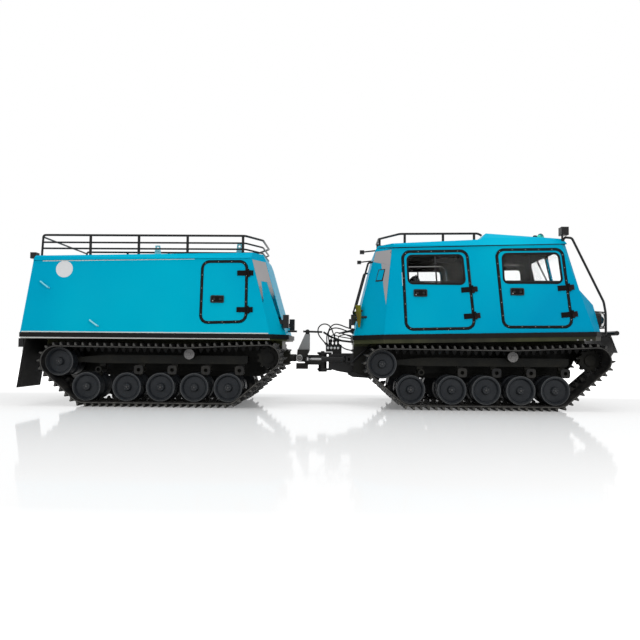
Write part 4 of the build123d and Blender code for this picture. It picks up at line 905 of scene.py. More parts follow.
# %% Canvas on the corner straps
olive_canvas = finish("olive_canvas", (0.135, 0.15, 0.010), dust=(0.10, 0.08, 0.02), dust_amount=0.35,
                      rough=0.85, second=(0.075, 0.055, 0.014), drift=6.0, specular=0.1, fine=(900.0, 0.5))
strap_line = [(0.447, 1.2455), (0.515, 1.2455), (0.5225, 1.1005),
              (0.5075, 0.9745), (0.4845, 0.9745), (0.4630, 1.1005)]
canvas = slab([(x, -0.6385, z) for x, z in strap_line], rightward, 0.0, 0.031, 0.003)
piece("front_strap_canvas", both(canvas), olive_canvas, "front_car", "hull_olive")

# %% [markdown]
# ## Trim on the walls
#
# The load box stands on a pale sealing bead, and a bright strip runs under the black one, thicker towards the
# back. A plain white disc is stuck on the box near its rear corner. They are thin, but they draw the long
# horizontal lines that the eye reads first.

# %% Strips, bead and disc
pale_metal = finish("pale_metal", (0.46, 0.47, 0.46), rough=0.35, metal=0.55, dust_amount=0.3)
pale_sealant = finish("pale_sealant", (0.55, 0.58, 0.56), rough=0.55, dust_amount=0.35)
disc_white = finish("disc_white", (0.56, 0.57, 0.58), rough=0.35, dust_amount=0.3, dust=(0.35, 0.36, 0.37),
                    patch_size=30.0)


def strip_on_side(x_rear, x_front, low_rear, low_front, high, out):
    """A strip along the hull's side: a four-cornered section at each end, joined straight."""
    ends = [[(x, -side_half + 0.004, low), (x, -side_half - out, low), (x, -side_half - out, high),
             (x, -side_half + 0.004, high)] for x, low in ((x_rear, low_rear), (x_front, low_front))]
    return shell(np.array(ends))


bright_strip = strip_on_side(-3.560, -0.571, 0.8055, 0.8145, 0.8225, 0.0075)
bead_corners = [(-3.552, 0.8905), (-0.590, 0.8905), (-0.590, 0.8785), (-3.552, 0.8785)]
bead = slab(on_side(rounded(bead_corners, 0.003, 3)), side_out, -0.001, 0.0045, 0.0015)
gutter_corners = [(-3.350, 1.7495), (-1.500, 1.7795), (-1.500, 1.7745), (-3.350, 1.7405)]
gutter_bead = slab(on_side(rounded(gutter_corners, 0.001, 3)), side_out, -0.001, 0.002, 0.0008)
disc_x, disc_z, disc_radius, disc_rim_radius = -3.080, 1.647, 0.103, 0.094
cosine, sine = circle(48)
disc_line, rim_line = (on_side(np.stack([disc_x + radius * cosine, disc_z + radius * sine], 1))
                       for radius in (disc_radius, disc_rim_radius))
disc = slab(disc_line, side_out, -0.001, 0.0012, 0.0008)
disc_rim = ring(rim_line, side_out, bulb(0.012, 0.0018, 0.0))
for name, one, material, slot in (("rear_bright_strips", bright_strip, pale_metal, "steel_grey"),
                                  ("rear_foot_beads", bead, pale_sealant, "steel_grey"),
                                  ("rear_gutter_beads", gutter_bead, pale_sealant, "steel_grey")):
    piece(name, both(one), material, "rear_car", slot)
piece("rear_disc", together(disc, disc_rim), disc_white, "rear_car", "steel_grey")
print("disc across", 2 * disc_radius, "m")

# %% Rain gutters of the front car, black as a painted shadow line
# A black strip along each roof edge draws the dark line of the gutter's shadow: a painted shadow.
gutter_corners = [(0.715, 1.9285), (2.965, 1.9915), (2.965, 1.9835), (0.715, 1.9205)]
gutter_shadow_strip = slab(on_side(rounded(gutter_corners, 0.001, 3)), side_out, -0.001, 0.007, 0.002)
piece("front_gutters", both(gutter_shadow_strip), strip_rubber, "front_car", "black_rubber")

# %% Bolts along the hull
bolt = turned([(-0.001, 0.011), (0.003, 0.011), (0.0055, 0.0085), (0.0065, 0.003)], origin, rightward, 12)
bolt_places = np.array([(x, -side_half, 0.838) for x in (3.050, 3.132, 3.207)])
front_bolts = copies(bolt, bolt_places)
piece("front_hull_bolts", both(front_bolts), clip_metal, "front_car", "steel_grey")

# %% [markdown]
# ## Wheels
#
# Each twin wheel is a pressed disc with a rubber tyre bonded to its rim. The solids have the dish and the
# cap; what they lack is the pale worn lip round the rim and the ring of hub bolts.
# These are small turned shapes, made once and copied to all six wheels of a side.

# %% Rim lips, hub bolts and roller faces
wheel_x = [1.104, 1.591, 1.997, 2.403, 2.809]
wheel_z, idler_place, roller_place = 0.233, (0.767, 0.532), (2.326, 0.630)
car_spacing, wheel_face = 3.880, 0.831
cars = (("front", 0.0), ("rear", -car_spacing))
wheel_places = np.array([(x, -wheel_face, wheel_z) for x in wheel_x]
                        + [(idler_place[0], -wheel_face, idler_place[1])])
lip_metal = finish("lip_metal", (0.075, 0.078, 0.08), dust=(0.14, 0.137, 0.13), rough=0.42, metal=0.3,
                   dust_amount=0.6, patch_size=20.0)
hub_metal = finish("hub_metal", (0.05, 0.052, 0.055), dust=(0.14, 0.13, 0.12), rough=0.4, metal=0.3,
                   dust_amount=0.5, patch_size=25.0)


def bead_ring(radius, width, height, count=64, foot=-0.002):
    """A closed bead about the y axis: point = (r cos u, -h, r sin u).

    (r, h) runs over half an ellipse, r = radius + cos(v) * width / 2 and h = sin(v) * height, and a foot.
    """
    v = np.linspace(0, pi, 9)
    r = np.append(radius + np.cos(v) * width / 2, [radius - width / 2, radius + width / 2])
    h = np.append(np.sin(v) * height, [foot, foot])
    cosine, sine = (part[:, None] for part in circle(count))
    return shell(np.stack([r * cosine, np.broadcast_to(-h, (count, len(h))), r * sine], -1), wrap_rows=True)


def rings(rows, count, wrap_rows=False):
    """Rings about the y axis from (radius, y) rows, as a shell; a radius may differ round its ring."""
    cosine, sine = circle(count)
    return shell(np.stack([np.stack([radius * cosine, np.full(count, y), radius * sine], -1)
                           for radius, y in rows]), wrap_rows)


hub_bolt = turned([(-0.001, 0.0065), (0.004, 0.0065), (0.0055, 0.0045), (0.006, 0.001)], origin, rightward, 6)
bolt_circle, first_bolt = 0.026, 0.3
bolt_angle = np.linspace(0, 2 * pi, 5, endpoint=False) + first_bolt
hub_bolts = copies(hub_bolt, np.stack([bolt_circle * np.cos(bolt_angle), np.full(5, -0.004),
                                       bolt_circle * np.sin(bolt_angle)], 1))
hub_nut = turned([(0.003, 0.014), (0.010, 0.013), (0.013, 0.009), (0.013, 0.003)], origin, rightward, 16)
lip = bead_ring(0.1655, 0.006, 0.0022)
star = 0.043 + 0.010 * np.cos(6 * np.linspace(0, 2 * pi, 60, endpoint=False))
roller_face = rings([(0.0635, -0.7700), (0.0635, -0.7785), (0.0600, -0.7815), (star + 0.004, -0.7815),
                     (star, -0.7775), (0.020, -0.7775), (0.018, -0.7835), (0.004, -0.7845)], 60)
for car, shift in cars:
    places = wheel_places + [shift, 0, 0]
    lips = copies(lip, places)
    hubs = copies(together(hub_bolts, hub_nut), places)
    piece(f"{car}_wheel_lips", both(lips), lip_metal, f"{car}_car", "wheel_grey")
    piece(f"{car}_hub_bolts", both(hubs), hub_metal, f"{car}_car", "wheel_grey")
    roller = shifted(roller_face, (roller_place[0] + shift, 0.0, roller_place[1]))
    piece(f"{car}_roller_faces", both(roller), grey_casting, f"{car}_car", "steel_grey")
print("pieces so far", len(made))

# %% [markdown]
# The suspension arms of four wheels end in squarish cast bosses above the wheels, with a round hole through
# each. A superellipse, |x|^4 + |z|^4 = r^4, gives the outline, and the hole is a circle with as many points.

# %% Arm bosses
boss_half, boss_hole, boss_back, boss_face = 0.056, 0.025, -0.778, -0.806
boss_dx, boss_z = 0.130, 0.438
cosine, sine = circle(48)
square_radius = boss_half / (cosine ** 4 + sine ** 4) ** 0.25
boss = rings([(square_radius, boss_back), (square_radius, boss_face + 0.004),
              (square_radius - 0.004, boss_face), (square_radius * 0.30 + boss_hole * 0.82, boss_face),
              (boss_hole + 0.008, boss_face + 0.003), (boss_hole, boss_face + 0.003),
              (boss_hole, boss_back)], 48, wrap_rows=True)
for car, shift in cars:
    bosses = copies(boss, [(x + boss_dx + shift, 0.0, boss_z) for x in wheel_x[1:]])
    piece(f"{car}_arm_bosses", both(bosses), cast_metal, f"{car}_car", "cast_iron")
print("bosses", 4 * len(wheel_x[1:]))

# %% [markdown]
# ## Tracks
#
# A track is a rubber belt with a cleat at every 87 mm outside and a guide horn inside, which runs between the
# two discs of a wheel. The belt's path is found as a real one is: straight between two wheels, round each of
# them, and over the small roller on top. Every cleat and horn is one small shell of a few faces, set on the
# path with its own three directions. The cleats' ends and the belt's rim get a thin cap of paler rubber:
# partly wear, and partly a painted highlight where those edges catch the light.

# %% The belt's path
belt_thick, cleat_pitch = 0.020, 0.087
sprocket_place, sprocket_round, wheel_round = (3.274, 0.594), 0.142, 0.173
idler_round, roller_round = 0.172, 0.064
track_out, track_in = -0.932, -0.318


def belt_path(grow, gap):
    """Points of the belt's path, gap apart, clockwise, and the outward angle at each.

    Between two circles the outward angle is heading + pi / 2 + atan((r1 - r0) / apart). Round a circle it
    turns from the angle at which the belt arrives to the one at which it leaves.
    """
    circles = np.array([(*idler_place, idler_round + grow),
                        (roller_place[0], roller_place[1] + roller_round + grow, 0.0),
                        (*sprocket_place, sprocket_round + grow),
                        (wheel_x[-1], wheel_z, wheel_round + grow),
                        (wheel_x[0], wheel_z, wheel_round + grow)])
    step = np.roll(circles, -1, axis=0) - circles
    heading, apart = np.arctan2(step[:, 1], step[:, 0]), np.hypot(step[:, 0], step[:, 1])
    leave = heading + pi / 2 + np.arctan2(step[:, 2], apart)
    arrive = np.roll(leave, 1)
    turn = (arrive - leave) % (2 * pi)
    turn = np.where(turn > 1.5 * pi, 0.0, turn)
    angle = arrive[:, None] - turn[:, None] * np.linspace(0, 1, 25)
    points = circles[:, None, :2] + circles[:, None, 2:] * np.stack([np.cos(angle), np.sin(angle)], -1)
    points, angle = points.reshape(-1, 2), np.unwrap(angle.ravel())
    points, angle = np.concatenate([points, points[:1]]), np.append(angle, angle[0] - 2 * pi)
    run = np.concatenate([[0], np.cumsum(np.linalg.norm(np.diff(points, axis=0), axis=1))])
    at = np.linspace(0, run[-1], round(run[-1] / gap), endpoint=False)
    return np.interp(at, run, points[:, 0]), np.interp(at, run, points[:, 1]), np.interp(at, run, angle)


def laid_on(path, one):
    """Copies of a shell on the path: x runs along the belt, y is the vehicle's and z points outwards."""
    x, z, angle = path
    none = np.zeros_like(angle)
    axes = np.stack([np.stack([np.sin(angle), none, -np.cos(angle)], -1),
                     np.stack([none, none + 1.0, none], -1),
                     np.stack([np.cos(angle), none, np.sin(angle)], -1)], 1)
    return copies(one, np.stack([x, none, z], -1), axes)


print("belt", round(len(belt_path(belt_thick, 0.001)[0]) * 0.001, 2), "m long")

# %% Belt, cleats, horns and pale edges, worn and with painted highlights
belt_x, belt_z, belt_angle = belt_path(0.0, 0.020)
section = np.array([(0.0012, track_out + 0.004), (0.006, track_out), (0.017, track_out),
                    (0.020, track_out + 0.004), (0.020, track_in - 0.004), (0.017, track_in),
                    (0.006, track_in), (0.0012, track_in - 0.004)])
out_x, out_z = np.cos(belt_angle)[:, None], np.sin(belt_angle)[:, None]
belt = shell(np.stack([belt_x[:, None] + section[:, 0] * out_x,
                       np.broadcast_to(section[:, 1], (len(belt_x), len(section))),
                       belt_z[:, None] + section[:, 0] * out_z], -1), wrap_rows=True)
cleat_section = np.array([(-0.019, -0.004), (-0.0185, 0.010), (-0.0185, 0.036), (-0.0150, 0.0395),
                          (-0.0035, 0.0395), (0.0000, 0.036), (0.0120, 0.008), (0.0190, -0.004)])
middle_y, half_wide = (track_out + track_in) / 2, (track_in - track_out) / 2
cleat_across = np.array([-1.0, -0.985, -0.16, -0.12, 0.12, 0.16, 0.985, 1.0]) * half_wide + middle_y
cleat_rise = np.array([0.80, 1.0, 1.0, 0.55, 0.55, 1.0, 1.0, 0.80])
cleat = shell(np.stack([np.broadcast_to(cleat_section[:, 0], (8, 8)),
                        np.repeat(cleat_across[:, None], 8, axis=1),
                        cleat_section[:, 1] * cleat_rise[:, None]], -1))
horn_rows = [(0.026, 0.020, 0.002), (0.022, 0.017, -0.020), (0.011, 0.011, -0.046), (0.006, 0.007, -0.052)]
corner = np.array([(-1, -1), (1, -1), (1, 1), (-1, 1)], float)
horn = shell(np.stack([np.stack([corner[:, 0] * long, corner[:, 1] * wide, np.full(4, deep)], -1)
                       for long, wide, deep in horn_rows]))
cap_middle, cap_rise = 0.018, 0.80
end_cap = shell(np.stack([
    np.stack([cleat_section[:, 0] * inset, np.full(8, y),
              cap_middle + (cleat_section[:, 1] - cap_middle) * inset * cap_rise], -1)
    for y, inset in ((track_out - 0.0002, 0.90), (track_out - 0.0022, 0.84))]))
edge_path = np.stack([belt_x + 0.0105 * np.cos(belt_angle), np.full(len(belt_x), track_out),
                      belt_z + 0.0105 * np.sin(belt_angle)], -1)
edge = ring(edge_path, rightward, bulb(0.0085, 0.0024, 0.0008, steps=7))
cleat_path = belt_path(belt_thick, cleat_pitch)
cleats = laid_on(cleat_path, cleat)
horns = laid_on(belt_path(0.0, cleat_pitch), shifted(horn, (0, middle_y, 0)))
wear_and_highlight_caps = together(laid_on(cleat_path, end_cap), edge)
right_track = together(belt, cleats, horns)
for car, shift in cars:
    for side, turn in sides:
        shape = piece(f"{car}_{side}_track_belt", turn(shifted(right_track, (shift, 0, 0))), track_rubber,
                      f"{car}_car", "track_rubber")
        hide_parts(f"{car}_{side}_track")
        piece(f"{car}_{side}_track_wear", turn(shifted(wear_and_highlight_caps, (shift, 0, 0))), worn_rubber, f"{car}_car",
              "track_rubber")
print("cleats a track", len(cleat_path[0]))

# %% [markdown]
# ## Seats
#
# Each seat is two pads on a boxed stand. A pad starts as a rounded block, |a|^6 + |b|^6 + |c|^6 = 1 scaled
# to its size, is remeshed into even squares and blown up as cloth, so its faces crown and its edges pull in.
# How far a point may move is capped, and the underside is kept flat where it rests. The piping is a thin
# cord laid where the swollen pad turns out to be widest.

# %% Pads
seat_fabric = finish("seat_fabric", (0.020, 0.021, 0.023), second=(0.028, 0.028, 0.029), drift=3.0,
                     dust=(0.07, 0.068, 0.062), dust_amount=0.25, rough=0.85, fine=(1500.0, 1.0),
                     bump=0.0015, top=1.7, specular=0.2)
piping_cloth = finish("piping_cloth", (0.012, 0.012, 0.013), dust=(0.05, 0.05, 0.05), rough=0.7,
                      fine=(900.0, 0.5))
pad_voxel, pad_cap, pad_start, pad_frames = 0.010, 0.016, 0.90, 20
seat_parts = {
    "front": dict(back_x=2.130, near=0.290, far=0.740),
    "bench": dict(back_x=1.100, near=0.020, far=0.740),
}


def pad_block(half_size, rows=25, columns=48):
    """A rounded block: the sphere's direction d times half_size / (|dx|^6 + |dy|^6 + |dz|^6)^(1/6)."""
    high, round_ = np.meshgrid(np.linspace(0.06, pi - 0.06, rows),
                               np.linspace(0, 2 * pi, columns, endpoint=False), indexing="ij")
    way = np.stack([np.sin(high) * np.cos(round_), np.sin(high) * np.sin(round_), np.cos(high)], -1)
    return shell(way / (np.abs(way) ** 6).sum(-1, keepdims=True) ** (1 / 6) * half_size)


def evaluated(thing):
    """A mesh of an object as its modifiers leave it."""
    return bpy.data.meshes.new_from_object(thing.evaluated_get(bpy.context.evaluated_depsgraph_get()))


def places_of(mesh):
    """The mesh's points as rows of x, y and z."""
    places = np.empty(len(mesh.vertices) * 3)
    mesh.vertices.foreach_get("co", places)
    return places.reshape(-1, 3)


def blown_up(name, half_size):
    """Points and faces of a pad about the origin: remeshed, blown up as cloth with its travel capped."""
    start = pad_block(np.array(half_size) * [0.965, 0.965, pad_start])
    pad = mesh_object(name, start[0], start[1].tolist() + start[2].tolist())
    remesh = pad.modifiers.new("even", "REMESH")
    remesh.mode, remesh.voxel_size = "VOXEL", pad_voxel
    remeshed = evaluated(pad)
    pad.modifiers.clear()
    pad.data = remeshed
    before = after = places_of(remeshed)
    cloth = pad.modifiers.new("cloth", "CLOTH")
    cloth.settings.quality = 5
    cloth.settings.mass = 0.3
    cloth.settings.use_pressure = True
    cloth.settings.uniform_pressure_force = 4.0
    cloth.settings.effector_weights.gravity = 0.0
    for frame in range(1, pad_frames + 1):
        scene.frame_set(frame)
    after = places_of(evaluated(pad))
    scene.frame_set(1)
    pad.modifiers.clear()
    travel = after - before
    length = np.linalg.norm(travel, axis=1, keepdims=True)
    after = before + travel * np.minimum(1.0, pad_cap / np.maximum(length, 1e-9))
    after = np.clip(after, [-np.inf, -np.inf, -half_size[2]], [np.inf, np.inf, half_size[2] + pad_cap])
    faces = [list(face.vertices) for face in remeshed.polygons]
    bpy.data.objects.remove(pad)
    print(name, "moved up to", round(float(length.max()), 3), "m")
    return after, faces


def widest_line(points, half_size, count=72):
    """The pad's rim seen from above: in each of count directions the farthest point of the middle band."""
    band = points[np.abs(points[:, 2]) < half_size[2] * 0.35]
    turn = np.arctan2(band[:, 1] / half_size[1], band[:, 0] / half_size[0]) % (2 * pi)
    slot = (turn / (2 * pi) * count).astype(int) % count
    angle = (np.arange(count) + 0.5) / count * 2 * pi
    way = np.stack([np.cos(angle) * half_size[0], np.sin(angle) * half_size[1]], 1)
    reach = np.zeros(count)
    np.maximum.at(reach, slot, np.linalg.norm(band[:, :2], axis=1))
    return np.hstack([unit(way) * reach[:, None], np.full((count, 1), half_size[2] * 0.55)])


def seat_pad(name, half_size, centre, lean, side):
    """One pad with its piping, turned back by lean about y and set in its place on the given side."""
    points, faces = pads[half_size]
    rim = widest_line(points, half_size)
    turn = np.array([[cos(lean), 0, sin(lean)], [0, 1, 0], [-sin(lean), 0, cos(lean)]])
    placed = points @ turn.T + centre
    line = rim @ turn.T + centre
    if side == "left":
        placed, line, faces = placed * [1, -1, 1], line * [1, -1, 1], [face[::-1] for face in faces]
    pad = mesh_object(name, placed, faces, seat_fabric)
    smooth = pad.modifiers.new("smooth", "SUBSURF")
    smooth.levels = smooth.render_levels = 1
    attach(pad, "front_car")
    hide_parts("front_seats")
    made.append((name, len(faces) * 8))
    closed = np.concatenate([line, line[:1]])
    piece(f"{name}_piping", tube(closed, 0.0045, 8), piping_cloth, "front_car", "seat_fabric")


def seat_floor(x):
    """Height of the sloping cabin floor at x, with half a millimetre of room."""
    return 0.9040 + 0.02146 * (x - 0.436)


pads = {}
seat_low, seat_high, back_high = 1.130, 1.250, 1.640
back_lean = atan2(0.075, back_high - seat_high)
cushion_z, backrest_z = (seat_low + seat_high) / 2, (seat_high + back_high) / 2 + 0.004
for part, at in seat_parts.items():
    wide = (at["far"] - at["near"]) / 2
    middle = (at["far"] + at["near"]) / 2
    cushion = (0.225, wide - 0.006, (seat_high - seat_low) / 2 - 0.004)
    back = (0.190, wide - 0.006, 0.044)
    for shape in (cushion, back):
        pads[shape] = blown_up(f"{part}_pad", shape)
    cushion_x, backrest_x = at["back_x"] + 0.290, at["back_x"] + 0.103
    for side in ("right", "left"):
        seat_pad(f"{part}_{side}_cushion", cushion, (cushion_x, -middle, cushion_z), 0.0, side)
        seat_pad(f"{part}_{side}_backrest", back, (backrest_x, -middle, backrest_z), pi / 2 - back_lean, side)
print("pads", 2 * len(pads))

# %% Seat stands
stand_grey = finish("stand_grey", (0.03, 0.031, 0.032), rough=0.5, dust_amount=0.3, dust=(0.09, 0.088, 0.08))
for part, at in seat_parts.items():
    foot_x, top_x = at["back_x"] + 0.120, at["back_x"] + 0.460
    stand_line = [(foot_x, 0.0, seat_floor(foot_x)), (top_x, 0.0, seat_floor(top_x)),
                  (top_x, 0.0, seat_low - 0.001), (foot_x, 0.0, seat_low - 0.001)]
    stand = slab(stand_line, rightward, at["near"] + 0.040, at["far"] - 0.040, 0.004)
    shape = piece(f"{part}_seat_stands", both(stand), stand_grey, "front_car", "black_paint")
    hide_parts("front_seats")
print("seat stands", len(seat_parts))

# %% [markdown]
# ## Racks, guards and rails
#
# The roof racks and the lamp guards are bent from round tube. Each is a path whose corners are eased and a
# circle carried along it. The rear rack's last posts lean back and turn into the top rail in one bend.

# %% Roof racks
front_roof_line = [(0.693, 1.929), (2.975, 1.994)]
rear_roof_line = [(-3.464, 1.752), (-0.669, 1.799)]
rail_top, rail_radius, rear_rail_y = 2.080, 0.0135, -0.720


def roof_height(line, x):
    """Height of a gutter line at x: z0 + (x - x0) (z1 - z0) / (x1 - x0)."""
    (x0, z0), (x1, z1) = line
    return z0 + (x - x0) * (z1 - z0) / (x1 - x0)


rack_bars = [tube(eased([(1.992, -0.620, 2.112), (1.952, -0.620, 2.140), (0.990, -0.620, 2.131),
                         (0.757, -0.230, 2.131), (0.757, 0.001, 2.131)], 0.03), rail_radius)]
rack_bars += [tube([(x, y, roof_height(front_roof_line, x) + 0.0008), (x, y, 2.132)], 0.0155)
              for x, y in ((1.051, -0.620), (1.520, -0.620), (1.900, -0.620), (0.770, -0.200))]
rack = piece("front_rack_tubes", both(together(*rack_bars)), black_paint, "front_car", "black_paint")
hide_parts("front_roof_rack")
side_frame = [(-3.414, -0.712, roof_height(rear_roof_line, -3.414) + 0.0005), (-3.398, -0.712, rail_top),
              (-3.330, -0.716, rail_top), (-0.905, rear_rail_y, rail_top), (-0.722, -0.370, rail_top),
              (-0.722, 0.001, rail_top)]
rail_shapes = [tube(eased(side_frame, 0.032), rail_radius)]
for back, z in ((-3.402, 1.990), (-3.406, 1.915)):
    rail = [(back, -0.714, z), (-0.905, rear_rail_y, z), (-0.722, -0.370, z), (-0.722, 0.001, z)]
    rail_shapes.append(tube(eased(rail, 0.045), 0.011))
rail_shapes.append(tube([(-3.399, -0.712, 2.055), (-3.399, 0.001, 2.055)], 0.011))
for x in (-2.807, -2.210, -1.610, -0.930):
    foot = roof_height(rear_roof_line, x) + 0.0005
    rail_shapes.append(tube([(x, rear_rail_y, foot), (x, rear_rail_y, rail_top + 0.001)], 0.0165))
    rail_shapes.append(turned([(0.0, 0.030), (0.006, 0.030), (0.010, 0.020)], (x, rear_rail_y, foot), up, 20))
rack = piece("rear_rack_tubes", both(together(*rail_shapes)), black_paint, "rear_car", "black_paint")
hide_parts("rear_roof_rack")
guard = tube(eased([(2.930, -0.735, 2.000), (2.962, -0.736, 2.078), (3.048, -0.740, 2.070),
                    (3.418, -0.745, 1.300), (3.440, -0.745, 1.170), (3.440, -0.745, 0.905)], 0.024), 0.0140)
piece("front_guard_sleeves", both(guard), black_paint, "front_car", "black_paint")
print("rack bars", len(rack_bars) + len(rail_shapes))

# %% [markdown]
# ## The coupling's bright parts
#
# The post over the pitch pin has a plain grey plate let into its side, and the pin itself is held by a bright
# ring with a nut. Both catch the eye in the dark gap between the two cars.

# %% Post plate and pin rings
plate_grey = finish("plate_grey", (0.25, 0.252, 0.252), dust=(0.3, 0.29, 0.27), dust_amount=0.5, rough=0.5,
                    metal=0.2)
plate_corners = rounded(drawn_in([(-0.190, 0.903), (-0.130, 0.903), (-0.130, 0.690), (-0.284, 0.690)],
                                 0.003), 0.004, 4)
plate_line = np.stack([plate_corners[:, 0], np.full(len(plate_corners), -0.048), plate_corners[:, 1]], 1)
plate = slab(plate_line, rightward, -0.001, 0.0035, 0.001)
pin_place = (-0.260, -0.1003, 0.588)
pin_ring = shifted(bead_ring(0.036, 0.020, 0.007, 40), pin_place)
pin_nut = turned([(0.0, 0.026), (0.010, 0.026), (0.012, 0.022), (0.012, 0.004)], pin_place, rightward, 6)
piece("post_plates", both(plate), plate_grey, "steering_knuckle", "steel_grey")
piece("pitch_pin_rings", both(pin_ring), bright_steel, "steering_knuckle", "steel_grey")
piece("pitch_pin_nuts", both(pin_nut), grey_casting, "steering_knuckle", "cast_iron")

# %% Valve block fittings
knob = turned([(-0.001, 0.017), (0.010, 0.017), (0.012, 0.012), (0.030, 0.012), (0.034, 0.020),
               (0.062, 0.021), (0.070, 0.016), (0.072, 0.004)], origin, up, 18)
knob_places = [(x, y, 0.766) for x in (0.150, 0.196, 0.242) for y in (-0.058, -0.010, 0.034)]
nut = turned([(0.0, 0.019), (0.012, 0.019), (0.015, 0.015), (0.015, 0.005)], origin, rightward, 6)
nuts = copies(nut, [(x, -0.112, 0.722) for x in (0.112, 0.156, 0.200, 0.244)])
piece("valve_knobs", copies(knob, knob_places), black_paint, "front_car", "black_paint")
piece("valve_nuts", nuts, bright_steel, "front_car", "steel_grey")
feed_pipes = together(*(tube(eased(route, 0.03), 0.007) for route in (
    [(0.242, -0.058, 0.836), (0.250, -0.058, 0.880), (0.330, -0.070, 0.900), (0.434, -0.078, 0.880)],
    [(0.196, -0.010, 0.836), (0.200, -0.010, 0.930), (0.300, -0.020, 0.915), (0.434, -0.030, 0.862)],
    [(0.150, 0.034, 0.836), (0.160, 0.036, 0.900), (0.280, 0.060, 0.870), (0.434, 0.070, 0.846)])))
piece("valve_feed_pipes", feed_pipes, black_paint, "front_car", "black_paint")
print("valve knobs", len(knob_places))

# %% [markdown]
# ## Lamps and beacon
#
# A headlamp is a bright bowl behind a pressed lens. The bowl is a shallow turned dish and the lens a thin
# dome of clear glass in front of it, with fine ribs worked into its radius so that it catches the light.

# %% Headlamp bowls and lenses
bowl_metal = finish("bowl_metal", (0.75, 0.75, 0.74), rough=0.12, metal=1.0, dust_amount=0.0)
lamp_out, lamp_place, trim_place = (1.0, 0.0, 0.0), (3.466, -0.610, 1.085), (3.414, -0.610, 1.085)
bowl = turned([(-0.001, 0.072), (0.0015, 0.072), (0.0018, 0.066), (0.0006, 0.050), (0.0006, 0.020),
               (0.002, 0.012), (0.0025, 0.004)], lamp_place, lamp_out, 40)
dome_angle = np.linspace(0.15, 1.45, 12)
lens_radius = 0.074 * np.cos(dome_angle)
lens_outer = np.stack([0.0035 + 0.0070 * np.sin(dome_angle) + 0.0004 * np.cos(40 * dome_angle), lens_radius],
                      1)
lens = turned(np.concatenate([[(0.0028, 0.073)], lens_outer]), lamp_place, lamp_out, 40)
lens_band = turned([(-0.004, 0.0795), (0.0030, 0.0795), (0.0042, 0.0785), (0.0042, 0.0745), (0.0020, 0.0735),
                    (-0.004, 0.0735)], lamp_place, lamp_out, 40)
piece("front_lamp_bowls", both(bowl), bowl_metal, "front_car", "steel_grey")
piece("front_lamp_lenses", both(lens), lamp_lens, "front_car", "window_glass")
piece("front_lamp_bands", both(lens_band), black_paint, "front_car", "black_paint")
shell_band = turned([(0.0, 0.0915), (0.002, 0.0932), (0.026, 0.0932), (0.028, 0.0915)], trim_place,
                    lamp_out, 40)
piece("front_lamp_trims", both(shell_band), bowl_metal, "front_car", "steel_grey")

# %% Roof beacon
beacon_foot = (2.772, -0.420, 2.060)
dome_angle = np.linspace(0.0, 1.45, 12)
dome = turned(np.concatenate([[(0.030, 0.044), (0.052, 0.045)],
                              np.stack([0.060 + 0.060 * np.sin(dome_angle), 0.045 * np.cos(dome_angle)], 1)]),
              beacon_foot, up, 28)
rim = turned([(0.016, 0.048), (0.018, 0.051), (0.040, 0.051), (0.043, 0.047), (0.043, 0.0452)], beacon_foot,
             up, 28)
beacon_base = turned([(0.0, 0.056), (0.014, 0.056), (0.018, 0.050), (0.018, 0.010)], beacon_foot, up, 28)
motor = turned([(0.0, 0.030), (0.070, 0.030), (0.088, 0.024), (0.094, 0.012)], (2.704, -0.420, 2.062), up, 20)
base_shape = piece("front_beacon_base", together(beacon_base, motor), black_paint, "front_car", "black_paint")
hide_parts("front_beacon")
piece("front_beacon_rim", rim, amber_lens, "front_car", "lamp_amber")
piece("front_beacon_dome", dome, teal_lens, "front_car", "lamp_amber")

# %% [markdown]
# ## Floor and light
#
# The picture was taken in a white studio. The floor's own colour is a plain pale grey. Light of its own,
# given only to the rays that a camera, a mirror or a window sends, lifts it to white away from the vehicle
# and leaves the shadow under it in place. Near the tracks it shines a little, so they have a pale
# reflection. The lamps are large and soft, so that a colour renders about as it is written.

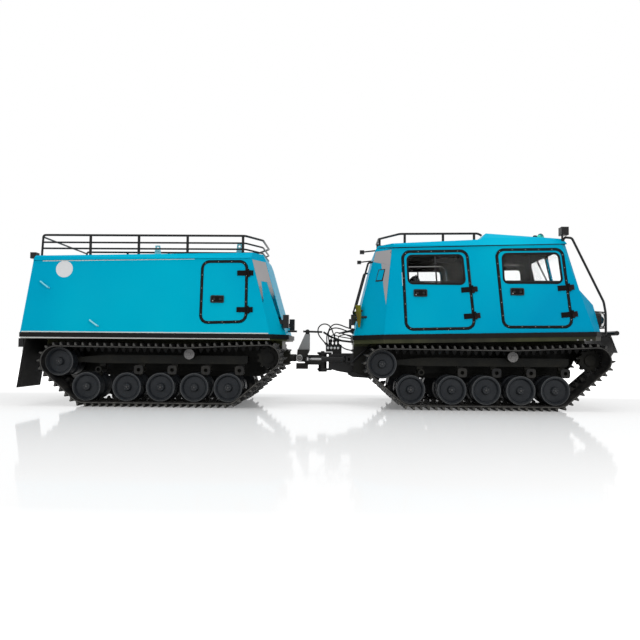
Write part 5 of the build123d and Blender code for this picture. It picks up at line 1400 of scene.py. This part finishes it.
# %% Floor
floor_paint, floor_tree, floor_shader = new_shader("studio_floor")
floor_place = own_place(floor_tree)
stretched = vector_maths(floor_tree, "MULTIPLY_ADD", floor_place, (0.30, 1.0, 0.0), (0.0, 2.2, 0.0))
own_light = spread(floor_tree, vector_maths(floor_tree, "LENGTH", stretched), 3.6, 6.5, 0.16, 1.0)
toward_camera = add_node(floor_tree, "ShaderNodeSeparateXYZ", {0: floor_place}).outputs["Y"]
fill_shader(floor_tree, floor_shader, Base_Color=colour(0.66, 0.66, 0.66), Roughness=0.06,
            Specular_IOR_Level=0.0, Emission_Color=colour(1.0, 1.0, 1.0),
            Metallic=spread(floor_tree, toward_camera, -6.2, -0.8, 0.0, 0.50),
            Emission_Strength=calculate(floor_tree, "MULTIPLY", seen_directly(floor_tree), own_light))
floor = mesh_object("studio_floor", [(-60, -30, 0), (60, -30, 0), (60, 90, 0), (-60, 90, 0)], [(0, 1, 2, 3)],
                    floor_paint)

# %% World and lamps
world = bpy.data.worlds.new("studio")
scene.world = world
world.use_nodes = True
world_tree = world.node_tree
background = world_tree.nodes["Background"]
background.inputs["Color"].default_value = colour(1.0, 1.0, 1.0)
fill(world_tree, background.inputs["Strength"], spread(world_tree, seen_directly(world_tree), 0.0, 1.0, 0.50,
                                                       1.0))


def soft_lamp(name, place, target, wide, high, watts):
    """An area lamp at a place, turned so that it looks at its target."""
    data = bpy.data.lights.new(name, "AREA")
    data.shape, data.size, data.size_y, data.energy = "RECTANGLE", wide, high, watts
    lamp = bpy.data.objects.new(name, data)
    lamp.location = place
    lamp.visible_glossy = False
    lamp.rotation_euler = (Vector(target) - Vector(place)).to_track_quat("-Z", "Y").to_euler()
    scene.collection.objects.link(lamp)


soft_lamp("overhead", (0.0, -0.5, 7.5), (0.0, 0.0, 0.0), 12.0, 5.0, 420.0)
soft_lamp("side_front", (5.0, -9.0, 5.0), (0.5, 0.0, 0.8), 5.0, 3.0, 400.0)
soft_lamp("side_rear", (-6.0, -8.0, 4.0), (-1.5, 0.0, 0.8), 4.0, 3.0, 230.0)

# %% Size and finish
print("pieces", len(made), "triangles", sum(count for _, count in made))
